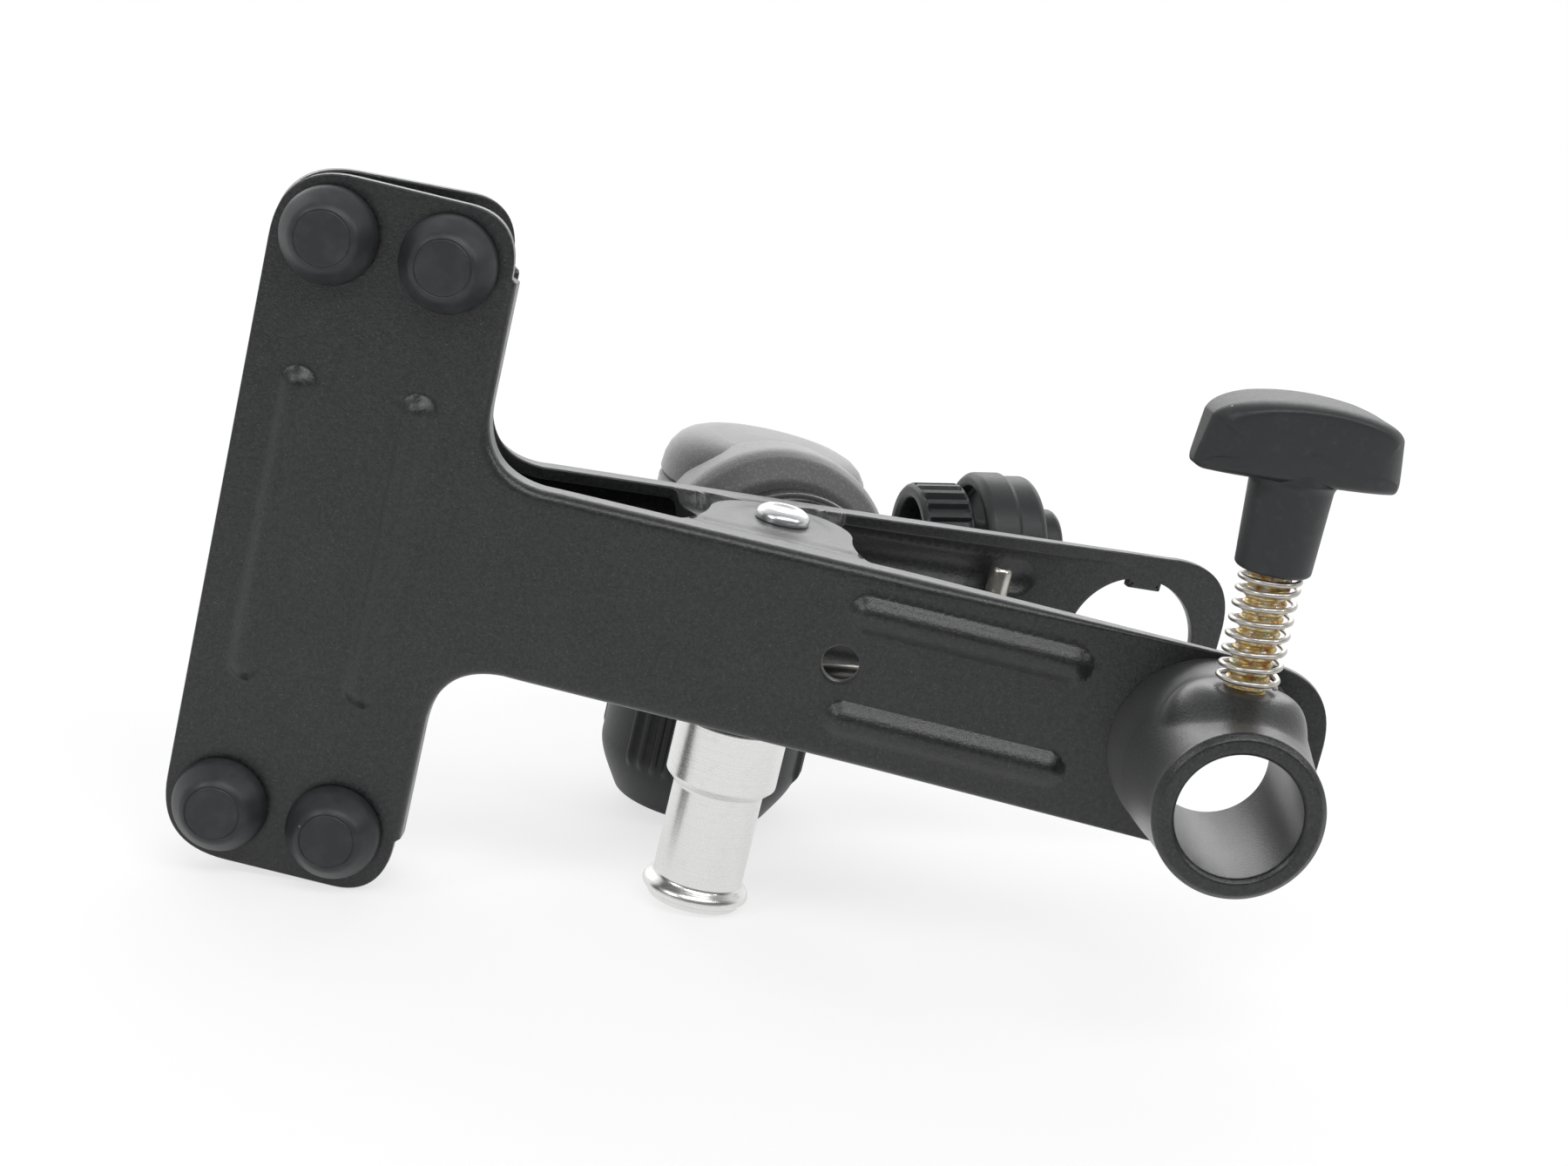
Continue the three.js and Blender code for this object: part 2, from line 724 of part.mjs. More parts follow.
function wingedKnob() {
  const hub_top = hub_depth + hub_height;
  const hub = solid(
    turned([
      [0, hub_depth],
      [hub_low / 2, hub_depth],
      [hub_high / 2, hub_top],
      [hub_high / 2, hub_top + wing_height / 2],
      [0, hub_top + wing_height / 2],
    ]),
  );
  const half = wing_length / 2;
  const crown = hub_top + wing_height;
  const shape = new THREE.Shape();
  shape.moveTo(-half, hub_top);
  shape.lineTo(half, hub_top);
  shape.lineTo(half - wing_crown / 2, crown - wing_round / 2);
  shape.quadraticCurveTo(half - wing_round, crown, half / 2, crown + wing_crown / 2);
  shape.quadraticCurveTo(0, crown + wing_crown, -half / 2, crown + wing_crown / 2);
  shape.quadraticCurveTo(-half + wing_round, crown, -half + wing_crown / 2, crown - wing_round / 2);
  const side = wing_width / 2;
  const end_side = wing_end_width / 2;
  const plan = new THREE.Shape();
  plan.moveTo(-half, -end_side);
  plan.quadraticCurveTo(0, end_side - wing_width, half, -end_side);
  plan.lineTo(half, end_side);
  plan.quadraticCurveTo(0, wing_width - end_side, -half, end_side);
  const settings = { depth: crown + wing_crown, bevelEnabled: false, curveSegments: corner_steps };
  const outline = solid(new THREE.ExtrudeGeometry(plan, settings));
  const blank = solid(slab(shape, -side, side, wing_round / 2)).intersect(outline);
  const bore = solid(rod(stud + 2 * seat, 0, hub_depth + stud_in_hub + seat));
  return hub.add(blank).subtract(bore);
}

const knob = place("lock_knob", wingedKnob(), finish.moulded, screw);
knob.rotation.z = wing_turn;

function knobSpringPoints() {
  const low = tube / 2 + boss_height + seat + knob_wire / 2;
  const high = hub_depth - seat - knob_wire / 2;
  const close = knob_wire + knob_wire_gap;
  const open = (high - low - 2 * knob_end_turns * close) / knob_turns;
  const turns = knob_turns + 2 * knob_end_turns;
  const steps = turns * curl_steps;
  const points = [];
  for (let i = 0; i <= steps; i += 1) {
    const turn = i / curl_steps;
    const opened = THREE.MathUtils.clamp(turn - knob_end_turns, 0, knob_turns);
    const z = low + opened * open + (turn - opened) * close;
    const angle = 2 * Math.PI * turn;
    const radius = knob_coil / 2;
    points.push(new THREE.Vector3(radius * Math.cos(angle), radius * Math.sin(angle), z));
  }
  const straight = (from, towards) => {
    const step = from.clone().sub(towards);
    step.z = 0;
    return from.clone().addScaledVector(step.normalize(), knob_wire);
  };
  points.unshift(straight(points[0], points[1]));
  points.push(straight(points[points.length - 1], points[points.length - 2]));
  return points;
}

const knob_spring = knobSpringPoints();
leastGap("knob_spring", knob_spring, knob_wire, curl_steps);
place("knob_spring", wire(knob_spring, knob_wire), finish.spring_steel, screw);

// Ball head frame on the rear plate: X to the grip, Y up, Z out from the plate.
const head = new THREE.Group();
head.position.set(head_reach, 0, 0);
head.rotation.x = Math.PI / 2;
rear.add(head);

const screw_low = -sheet - seat;
place(
  "head_screw",
  turned(
    [
      [0, screw_low - head_screw_head_height],
      [head_screw_head / 2, screw_low - head_screw_head_height],
      [head_screw_head / 2, screw_low],
      [head_screw / 2, screw_low],
      [head_screw / 2, head_screw_reach],
      [0, head_screw_reach],
    ],
    small_sides,
  ),
  finish.zinc,
  head,
);

const screw_hole = head_screw + 2 * running;
const base_low = rib_height + seat;
place(
  "head_base",
  turned([
    [screw_hole / 2, seat],
    [base_foot / 2, seat],
    [base_foot / 2, base_low],
    [head_base / 2 - base_edge, base_low],
    [head_base / 2, base_low + base_edge],
    [head_base / 2, base_top - base_edge],
    [head_base / 2 - base_edge, base_top],
    [screw_hole / 2, base_top],
    [screw_hole / 2, seat],
  ]),
  finish.moulded,
  head,
);

const slot_width = stem + 2 * running + 2 * ball_play;

// A body turned about the barrel's upright line, through the ball's middle.
const upright = (profile, sides) => turned(profile, sides).rotateX(-Math.PI / 2).translate(0, 0, ball_height);

function bossProfile(spare) {
  return [
    [0, boss_foot - spare],
    [boss_face / 2 + spare, boss_foot - spare],
    [boss_rim / 2 + spare, boss_foot + boss_rim_height - spare],
    [boss_round / 2 + spare, boss_foot + boss_round_height],
    [boss_root / 2 + spare, boss_foot + boss_root_height + spare],
    [0, boss_foot + boss_root_height + spare],
  ];
}

const ballPocket = () => {
  const pocket = new THREE.SphereGeometry(ball / 2 + ball_play, small_sides, small_sides / 2);
  return solid(pocket.translate(0, 0, ball_height));
};

// The stem swings in this slot, from beside the arm round the far side of the barrel.
function stemSlot() {
  const half = slot_width / 2;
  const reach = barrel / 2 + overrun;
  const corner = Math.atan(half / reach);
  const shape = new THREE.Shape();
  shape.moveTo(0, -half);
  shape.lineTo(reach, -half);
  shape.absarc(0, 0, Math.hypot(reach, half), -corner, swing + corner);
  shape.lineTo(-half * Math.sin(swing), half * Math.cos(swing));
  const climb = (barrel / 2) * Math.tan(stem_tilt);
  const settings = { depth: slot_width + climb, bevelEnabled: false, curveSegments: small_sides };
  const slot = new THREE.ExtrudeGeometry(shape, settings).translate(0, 0, -half - climb);
  return solid(slot.rotateX(Math.PI / 2).translate(0, 0, ball_height));
}

function headBody() {
  const wall = barrel / 2;
  const trunk = upright([[0, -barrel_drop], [wall, -barrel_drop], [wall, cap_split], [0, cap_split]]);
  const nose = upright([[0, -neck_drop], [neck / 2, -neck_drop], [neck / 2, 0], [0, 0]]);
  const whole = joined([solid(trunk), solid(turned(bossProfile(0))), solid(nose)]);
  const bore = (grip_stud + 2 * running) / 2;
  const stud_bore = upright([[0, -neck_drop - overrun], [bore, -neck_drop - overrun], [bore, 0], [0, 0]]);
  const thread = rod(screw_hole, 0, head_screw_reach + seat);
  return cut(whole, [ballPocket(), stemSlot(), solid(stud_bore), solid(thread)]);
}

place("head_body", headBody(), finish.cast, head);

function headCap() {
  const foot = cap_split + seat;
  const profile = [[0, foot]];
  for (let i = 0; i <= corner_steps; i += 1) {
    const turn = (i / corner_steps) * (Math.PI / 2);
    const height = cap_top - cap_round + cap_round * Math.sin(turn);
    profile.push([barrel / 2 - cap_round + cap_round * Math.cos(turn), Math.max(height, foot)]);
  }
  profile.push([0, cap_top + cap_crown]);
  return cut(solid(upright(profile)), [ballPocket(), solid(turned(bossProfile(seat)))]);
}

place("head_cap", headCap(), finish.cast, head);

// Lock knob of the ball head, on the barrel's line. Heights here grow downwards.
const lock = new THREE.Group();
lock.position.z = ball_height;
lock.rotation.x = Math.PI / 2;
head.add(lock);

const pad_top = ball / 2 + seat;
place("head_pad", rod(pad, pad_top, pad_top + pad_height), finish.brass, lock);
const grip_stud_top = pad_top + pad_height + seat;

// The resting plane touches the jaws' inner corners and the edge of the spigot's foot.
const corner_x = jaw_inner - jaw_inner_radius;
const corner_z = -jaw_height / 2 + jaw_inner_radius;
const touch_x = spigot_foot / 2 - foot_edge;
const rest_span = Math.hypot(touch_x - corner_x, corner_z + spigot_depth);
const rest_slope = Math.atan2(corner_z + spigot_depth, touch_x - corner_x);
const rest_tilt = Math.asin(jaw_inner_radius / rest_span) - rest_slope;

// The lock knob's foot reaches down to that plane as well.
const knob_place = plateToPin(head_reach, -ball_height, true);
const knob_touch_x = knob_place.x + grip_knob_foot / 2;
const grip_knob_drop = spigot_depth - (knob_touch_x - touch_x) * Math.tan(rest_tilt);
const grip_stud_drop = grip_knob_drop - grip_stud_cover;
place("head_knob_stud", rod(grip_stud, grip_stud_top, grip_stud_drop), finish.zinc, lock);

function lockKnob() {
  const top = barrel_drop + seat;
  const waist = THREE.MathUtils.lerp(grip_knob_foot, grip_knob, grip_knob_waist_share) / 2;
  const body = turned([
    [0, top],
    [grip_knob / 2 - grip_knob_edge, top],
    [grip_knob / 2, top + grip_knob_edge],
    [grip_knob / 2, grip_knob_drop - grip_knob_taper],
    [waist, grip_knob_drop - grip_knob_taper / 3],
    [grip_knob_foot / 2, grip_knob_drop],
    [0, grip_knob_drop],
  ]);
  const ribs = [];
  for (let field = 0; field < grip_rib_fields; field += 1) {
    for (let k = 0; k < grip_ribs; k += 1) {
      const turn = (2 * Math.PI * field) / grip_rib_fields + (k - (grip_ribs - 1) / 2) * grip_rib_pitch;
      const half = grip_rib_width / 2;
      const foot = top + grip_knob_edge + grip_rib_length;
      const rib = block(0, grip_knob / 2 + grip_rib, -half, half, top + grip_knob_edge, foot);
      ribs.push(solid(rib.rotateZ(turn)));
    }
  }
  const hollow = rod(neck + 2 * running, 0, neck_drop + seat, round_sides);
  const bore = rod(grip_stud + 2 * seat, 0, grip_stud_drop + seat);
  return cut(joined([solid(body), ...ribs]), [solid(hollow), solid(bore)]);
}

place("head_knob", lockKnob(), finish.moulded, lock);

// Stem frame: Z runs along the stem, out of the ball.
const stem_tilted = new THREE.Group();
stem_tilted.position.z = ball_height;
stem_tilted.rotation.z = stem_tilt;
head.add(stem_tilted);
const stem_frame = new THREE.Group();
stem_frame.rotation.y = Math.PI / 2;
stem_tilted.add(stem_frame);

const ball_shape = solid(new THREE.SphereGeometry(ball / 2, small_sides, small_sides / 2));
const stem_socket = solid(rod(stem + 2 * seat, stem_root - seat, ball));
place("head_ball", ball_shape.subtract(stem_socket), finish.zinc, stem_frame);

const stem_end = cup_end - cup_edge;
place("head_stem", rod(stem, stem_root, stem_end), finish.zinc, stem_frame);

// A knurled ring, hollow towards the ball.
function lockRing() {
  const shape = new THREE.Shape();
  const tooth_radii = [ring / 2, ring / 2, ring / 2 - ring_tooth, ring / 2 - ring_tooth];
  const corners = tooth_radii.length * ring_teeth;
  for (let k = 0; k < corners; k += 1) {
    const radius = tooth_radii[k % tooth_radii.length];
    const turn = (2 * Math.PI * k) / corners;
    const spot = [radius * Math.cos(turn), radius * Math.sin(turn)];
    if (k === 0) shape.moveTo(...spot);
    else shape.lineTo(...spot);
  }
  const end = ring_start + ring_length;
  const settings = { depth: ring_length - 2 * ring_tooth, bevelEnabled: false };
  const knurl = new THREE.ExtrudeGeometry(shape, settings).translate(0, 0, ring_start + ring_tooth);
  const core = rod(ring - 2 * ring_tooth, ring_start, end, round_sides);
  const hollow = rod(ring_hollow, 0, end - ring_web);
  const bore = rod(stem + 2 * seat, 0, end + overrun);
  return cut(solid(knurl).add(solid(core)), [solid(hollow), solid(bore)]);
}

place("lock_ring", lockRing(), finish.moulded, stem_frame);

function platform() {
  const shell = turned([
    [0, cup_start],
    [cup / 2 - cup_edge, cup_start],
    [cup / 2, cup_start + cup_edge],
    [cup / 2, cup_start + cup_length / 2],
    [cup_shoulder / 2, cup_end - cup_edge],
    [cup_shoulder / 2 - cup_edge, cup_end],
    [0, cup_end],
  ]);
  const hollow = rod(cup_hollow, 0, cup_start + cup_hollow_depth, round_sides);
  const bore = rod(stem + 2 * seat, 0, stem_end + seat);
  return cut(solid(shell), [solid(hollow), solid(bore)]);
}

place("platform", platform(), finish.moulded, stem_frame);

place(
  "end_bush",
  turned(
    [
      [0, end_bush_start],
      [end_bush / 2, end_bush_start],
      [end_bush / 2, end_bush_reach - end_edge],
      [end_bush / 2 - end_edge, end_bush_reach],
      [end_thread / 2, end_bush_reach],
      [end_thread / 2, end_bush_start + end_edge],
      [0, end_bush_start + end_edge],
    ],
    small_sides,
  ),
  finish.moulded,
  stem_frame,
);

// Lay the clamp on its resting plane, with the origin under the middle of its box.
assembly.rotation.y = rest_tilt;
root.updateMatrixWorld(true);
const box = new THREE.Box3().setFromObject(assembly, true);
const middle = box.getCenter(new THREE.Vector3());
assembly.position.set(-middle.x, -middle.y, -box.min.z);

export default root;
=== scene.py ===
"""The looks of a spring clamp: two stamped plates, a socket tube with its locking screw,
a turned spigot and a small ball head. Sizes are in millimetres, in the frame of the piece
that carries them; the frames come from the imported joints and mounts."""
import json
import math

import bmesh
import bpy
import numpy as np
from mathutils import Matrix, Vector
from mathutils.geometry import delaunay_2d_cdt

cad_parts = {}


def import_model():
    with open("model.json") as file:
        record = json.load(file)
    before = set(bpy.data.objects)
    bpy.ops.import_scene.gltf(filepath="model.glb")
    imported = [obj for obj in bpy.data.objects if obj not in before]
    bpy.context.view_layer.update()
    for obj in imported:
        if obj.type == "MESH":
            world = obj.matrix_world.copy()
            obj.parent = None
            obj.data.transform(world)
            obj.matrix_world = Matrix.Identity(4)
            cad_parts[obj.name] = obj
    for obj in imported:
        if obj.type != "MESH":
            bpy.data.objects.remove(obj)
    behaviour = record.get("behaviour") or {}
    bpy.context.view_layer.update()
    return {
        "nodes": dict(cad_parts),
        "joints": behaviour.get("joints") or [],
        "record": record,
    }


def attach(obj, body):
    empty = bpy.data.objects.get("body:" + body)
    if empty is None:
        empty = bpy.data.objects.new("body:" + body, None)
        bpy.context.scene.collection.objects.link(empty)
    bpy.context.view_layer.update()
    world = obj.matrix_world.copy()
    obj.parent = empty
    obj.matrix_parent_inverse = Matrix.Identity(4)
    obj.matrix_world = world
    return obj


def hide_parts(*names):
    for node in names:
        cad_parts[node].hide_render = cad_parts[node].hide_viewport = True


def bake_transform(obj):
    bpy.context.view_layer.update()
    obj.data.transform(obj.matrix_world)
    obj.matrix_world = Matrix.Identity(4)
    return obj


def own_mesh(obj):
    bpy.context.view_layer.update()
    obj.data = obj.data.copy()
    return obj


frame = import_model()

MM = 0.001

# Plates, as stamped. Lengths along the arm are taken from the hinge pin.
SHEET = 1.7
JAW_REACH = 73.5
JAW_WIDTH = 33
JAW_HEIGHT = 96.2
JAW_OUTER_RADIUS = 10
JAW_INNER_RADIUS = 8
ARM_WIDTH_AT_JAW = 26.4
ARM_WIDTH_AT_GRIP = 27.8
CROTCH_RADIUS = 10
GRIP_REACH = 77.1
GRIP_RADIUS = 10
PIN_DEPTH = 15
LIP_DEPTH = 4.2
LIP_FULL = 20
LIP_END = 60
LIP_NOTCH = 39.6
LIP_RAMP = 0.7
BEND = 1.5
INNER_BEND = 0.4
CUT_EDGE = 0.3
BORDER = 2.4
RIB_WIDTH = 5
RIB_SPREAD = 0.15
RIB_HEIGHT = 1.4
RIB_DOME = 1.15
CHANNEL_DEPTH = 1
JAW_RIB_LENGTH = 44
JAW_RIB_EDGE = 7.6
JAW_RIB_SPACING = 16.3
ARM_RIB_LENGTH = 33
ARM_RIB_START = 11.8
ARM_RIB_SPACING = 15
LEG_HOLE = 5
LEG_HOLE_REACH = 12.3
HEAD_REACH = 9
GRIP_HOLE = 20.4
GRIP_HOLE_REACH = 62.5
TAB_WIDTH = 5.4
TAB_HEIGHT = 1.6
EAR_RADIUS = 10
EAR_BASE = 30
EAR_DISH = 7.5
EAR_DISH_HEIGHT = 0.25
EAR_GROOVE = 6.6
EAR_GROOVE_WIDTH = 1.1
EAR_GROOVE_DEPTH = 0.35
LIP_PROUD = 0.65
COARSE_GRID = 4
FINE_GRID = 0.42
COARSE_MARGIN = 1.2
FINE_MARGIN = 0.45
WALL_ROWS = 24
WALL_DRAFT = 0.01
EDGE_STEP = 1.5
NOTCH_STEP = 0.25

# Hinge, torsion spring and spigot.
BOLT = 5.5
BOLT_PLAY = 0.3
BOLT_HEAD = 7.6
BOLT_HEAD_HEIGHT = 2
BOLT_IN_SPIGOT = 11
SPIGOT_BORE_DEPTH = 5
WASHER = 15
WASHER_HEIGHT = 1
SLEEVE = 7.6
JAW_WIRE = 3.3
JAW_COIL = 12.8
JAW_TURNS = 3
JAW_WIRE_GAP = 0.6
JAW_COIL_STEPS = 40
JAW_WIRE_SIDES = 24
LEG_REACH = 38.6
LEG_RISE = 8.2
HOOK_HEIGHT = 8.6
HOOK_BEND = 3
SPIGOT = 15.7
SPIGOT_NECK = 12.8
SPIGOT_FOOT = 15.2
SPIGOT_SHOULDER = 24.2
SPIGOT_CHAMFER = 1.4
SPIGOT_FOOT_HEIGHT = 3.3
SPIGOT_DEPTH = 42.6

# Socket tube and its locking screw.
TUBE = 22
TUBE_BORE = 16.2
TUBE_LENGTH = 25.9
TUBE_LEAN = math.radians(5)
TUBE_EDGE = 0.8
SPREAD = 2.2
SPREAD_LENGTH = 22
SPREAD_CURVE = 1.25
TUBE_ROW = 0.4
FOOT_BLEND = 7
SCREW_TILT = math.radians(3.1)
COLLAR = 7
COLLAR_HEIGHT = 2.2
COLLAR_FLARE = 5.6
COLLAR_TOP = TUBE / 2 + COLLAR_HEIGHT
STUD = 5.6
STUD_PLACE = 13
STUD_IN_HUB = 8
STUD_CLEAR = 2.5
THREAD_PITCH = 1
THREAD_DEPTH = 0.35
THREAD_ROWS = 8
THREAD_SIDES = 36
HUB_DEPTH = 29
HUB_HEIGHT = 12
HUB_TOP = HUB_DEPTH + HUB_HEIGHT
HUB_LOW = 9.8
HUB_HIGH = 10.8
WING_LENGTH = 27.6
WING_TURN = math.radians(8)
WING_WIDTH = 11.5
WING_HEIGHT = 8.6
WING_CROWN = 2.4
WING_ROUND = 3.4
WING_EDGE = 1.6
WING_SIDE = 3
WING_CORNER = 1.6
WING_STEP = 1.2
WING_BULGE = 0.12
WING_DRAFT = 0.05
WING_THINNING = 0.93
WING_BLUNTNESS = 3.4
KNOB_WIRE = 0.75
KNOB_COIL = 7.5
KNOB_TURNS = 6
KNOB_END_TURNS = 1
KNOB_WIRE_GAP = 0.45
KNOB_COIL_STEPS = 48
KNOB_WIRE_SIDES = 14

# Rubber feet.
FOOT_BASE = 13.2
FOOT_FACE = 7.4
FOOT_HEIGHT = 4.8
FOOT_SHOULDER = 3
FOOT_PAD = 8
FOOT_PAD_HEIGHT = 0.5
FOOT_ROW = 40
FOOT_FIRST = 8
FOOT_SPACING = 16
FOOT_GROOVE = 0.18

# Ball head: distances from the rear plate's outer face, heights from the ball's middle.
HEAD_BASE = 27.6
HEAD_BASE_HEIGHT = 6.2
BASE_FOOT = 9.2
BOSS_FACE = 29.2
BOSS_RIM = 34.6
BOSS_RIM_HEIGHT = 1.9
BOSS_ROUND = 36.4
BOSS_ROUND_HEIGHT = 4.2
BOSS_ROOT = 35.4
BOSS_ROOT_HEIGHT = 11.4
BARREL = 31.2
BARREL_DROP = 18.3
CAP_SPLIT = 8.2
CAP_ROUND = 7
CAP_TOP = 16
BALL = 17
BALL_HEIGHT = 24
BALL_PLAY = 0.35
SWING = math.radians(125)
NECK = 18
NECK_DROP = 27
GRIP_KNOB = 30.8
GRIP_KNOB_FOOT = 24
GRIP_KNOB_TAPER = 6.8
GRIP_KNOB_BOTTOM = 41.85
GRIP_RIB = 0.7
GRIP_RIB_WIDTH = 1.2
GRIP_RIB_LENGTH = 16
GRIP_RIBS = 8
GRIP_RIB_PITCH = math.radians(8.2)
GRIP_FIELDS = 3
STEM = 8
STEM_PLAY = 0.6
STEM_TILT = math.radians(8)
RING = 19.2
RING_START = 25.4
RING_LENGTH = 8.2
RING_HOLLOW = 14.6
RING_WEB = 3.4
RING_TEETH = 24
RING_TOOTH = 0.8
CUP = 22.8
CUP_START = 34.9
CUP_LENGTH = 10
CUP_HOLLOW = 18.6
CUP_HOLLOW_DEPTH = 2.4
CUP_STEP = 21.8
END_BUSH = 11.6
END_BUSH_REACH = 49.3
END_THREAD = 5.4

# Shared working values.
SEAT = 0.3
SOFT_EDGE = 0.4
SMOOTH_ANGLE = math.radians(32)
PIN_SIDES = 64
FOOT_SIDES = 72
BALL_SIDES = 80
SMALL_SIDES = 96
ROUND_SIDES = 120
TURNED_SIDES = 144
TUBE_SIDES = 180
RING_SIDES = 288
GRIP_SIDES = 432
POLE = 1e-6
WELD = 1e-8
MERGE = 1e-5
THIRDS = (math.pi / 6, math.pi / 3, math.pi / 2)
HALVES = (0, math.pi / 4, math.pi / 2)
ARC_STEPS = 6

# Camera in the front plate's frame, found from the photograph.
CAMERA_PLACE = (8.01, -363.4, 101.07)
CAMERA_FORWARD = (-0.0147, 0.9692, -0.2456)
CAMERA_DOWN = (0.237, -0.2353, -0.9426)
CAMERA_LENS = 65
SENSOR_WIDTH = 36

joints = {joint["name"]: joint for joint in frame["joints"]}
mounts = {mount["name"]: mount for mount in frame["record"]["mounts"]}


def basis(origin, x, y, z):
    """A matrix from millimetres in a local frame to metres in the part's frame."""
    axes = Matrix((x, y, z)).transposed().to_4x4()
    return Matrix.Translation(origin) @ axes @ Matrix.Scale(MM, 4)


def moved(base, x=0.0, y=0.0, z=0.0):
    return base @ Matrix.Translation((x, y, z))


def spun(base, angle, axis):
    return base @ Matrix.Rotation(angle, 4, axis)


pin = Vector(joints["jaw_hinge"]["pos_m"])
up = -Vector(joints["jaw_hinge"]["axis"]).normalized()
into_front = Vector(mounts["front_jaw_pad"]["axis"]).normalized()
into_rear = Vector(mounts["rear_jaw_pad"]["axis"]).normalized()
across = (into_front - into_rear).normalized()

CLAMP = basis(pin, across.cross(up), across, up)
FRONT = basis(pin - into_front * PIN_DEPTH * MM, into_front.cross(up), into_front, up)
REAR = basis(pin - into_rear * PIN_DEPTH * MM, up.cross(into_rear), into_rear, up)
SOCKET = spun(spun(moved(FRONT, x=GRIP_HOLE_REACH), TUBE_LEAN, "Z"), -SCREW_TILT, "Y")
SCREW = moved(SOCKET, y=-STUD_PLACE)
HEAD = spun(moved(REAR, x=HEAD_REACH), math.pi / 2, "X")
BARREL_FRAME = spun(moved(HEAD, z=BALL_HEIGHT), -math.pi / 2, "X")
LOCK = spun(moved(HEAD, z=BALL_HEIGHT), math.pi / 2, "X")
STEM_FRAME = spun(spun(moved(HEAD, z=BALL_HEIGHT), STEM_TILT, "Z"), math.pi / 2, "Y")
LEAN = math.acos(max(-1.0, min(1.0, into_front.dot(across))))


class Value:
    """A shader socket that takes part in Python expressions."""

    def __init__(self, finish, socket):
        self.finish = finish
        self.socket = socket

    def _maths(self, operation, first, second):
        return self.finish.node("ShaderNodeMath", {"operation": operation}, {0: first, 1: second})

    def __add__(self, other):
        return self._maths("ADD", self, other)

    def __radd__(self, other):
        return self._maths("ADD", other, self)

    def __sub__(self, other):
        return self._maths("SUBTRACT", self, other)

    def __rsub__(self, other):
        return self._maths("SUBTRACT", other, self)

    def __mul__(self, other):
        return self._maths("MULTIPLY", self, other)

    def __rmul__(self, other):
        return self._maths("MULTIPLY", other, self)

    def __lt__(self, other):
        return self._maths("LESS_THAN", self, other)


class Shading:
    """Adds nodes to a node tree."""

    def __init__(self, tree):
        self.tree = tree
        tree.nodes.clear()

    def node(self, kind, settings=None, inputs=None, output=0):
        made = self.tree.nodes.new(kind)
        for key, value in (settings or {}).items():
            if key == "stops":
                self._ramp(made.color_ramp, value)
            else:
                setattr(made, key, value)
        for key, value in (inputs or {}).items():
            self._feed(made.inputs[key], value)
        return Value(self, made.outputs[output])

    def _ramp(self, ramp, stops):
        while len(ramp.elements) < len(stops):
            ramp.elements.new(1.0)
        for element, (place, shade) in zip(ramp.elements, stops):
            element.position = place
            element.color = (shade, shade, shade, 1.0)

    def _feed(self, socket, value):
        if isinstance(value, Value):
            self.tree.links.new(value.socket, socket)
        else:
            socket.default_value = value


class Finish(Shading):
    """A material: one Principled shader, with what varies over it worked out by nodes."""

    def __init__(self, name, constants=None):
        self.material = bpy.data.materials.new(name)
        self.material.use_nodes = True
        super().__init__(self.material.node_tree)
        self.shader = self.tree.nodes.new("ShaderNodeBsdfPrincipled")
        self.output = self.tree.nodes.new("ShaderNodeOutputMaterial")
        self.tree.links.new(self.shader.outputs[0], self.output.inputs[0])
        for socket, value in (constants or {}).items():
            self.shader.inputs[socket].default_value = value

    def set(self, socket, value):
        self._feed(self.shader.inputs[socket], value)

    def place(self):
        """The point on the piece, in millimetres."""
        point = self.node("ShaderNodeTexCoord", output="Object")
        settings = {"operation": "SCALE"}
        return self.node("ShaderNodeVectorMath", settings, {0: point, "Scale": 1 / MM})

    def noise(self, size, detail=2.0, roughness=0.5):
        """Noise between 0 and 1 whose features are about a size in millimetres across."""
        inputs = {"Vector": self.place(), "Scale": 1 / size}
        inputs |= {"Detail": detail, "Roughness": roughness}
        return self.node("ShaderNodeTexNoise", {}, inputs)

    def above(self, value, low, high):
        """A mask that rises from 0 to 1 where a value goes from low to high."""
        return self.node("ShaderNodeValToRGB", {"stops": ((low, 0.0), (high, 1.0))}, {0: value})

    def specks(self, spacing, size, share):
        """A mask of small round specks, strewn a spacing apart, where only a share shows."""
        inputs = {"Vector": self.place(), "Scale": 1 / spacing}
        distance = self.node("ShaderNodeTexVoronoi", {}, inputs, "Distance")
        colour = self.node("ShaderNodeTexVoronoi", {}, inputs, "Color")
        chosen = self.node("ShaderNodeSeparateColor", {}, {0: colour}) < share
        return (distance < size / spacing) * chosen

    def mixed(self, factor, first, second):
        """Two colours mixed by a factor."""
        inputs = {"Factor": factor, 6: first, 7: second}
        return self.node("ShaderNodeMix", {"data_type": "RGBA", "clamp_factor": True}, inputs, 2)

    def made(self, colour, roughness, bump, metallic=0.0):
        """Sets what varies over the surface; bump is a height, its depth and its strength."""
        height, depth, strength = bump
        inputs = {"Height": height, "Distance": depth * MM, "Strength": strength}
        self.set("Base Color", colour)
        self.set("Roughness", roughness)
        self.set("Metallic", metallic)
        self.set("Normal", self.node("ShaderNodeBump", {}, inputs))
        return self.material


def grey(value, red=1.0, blue=1.0):
    """A grey whose red and blue may be tinted."""
    return (value * red, value, value * blue, 1.0)


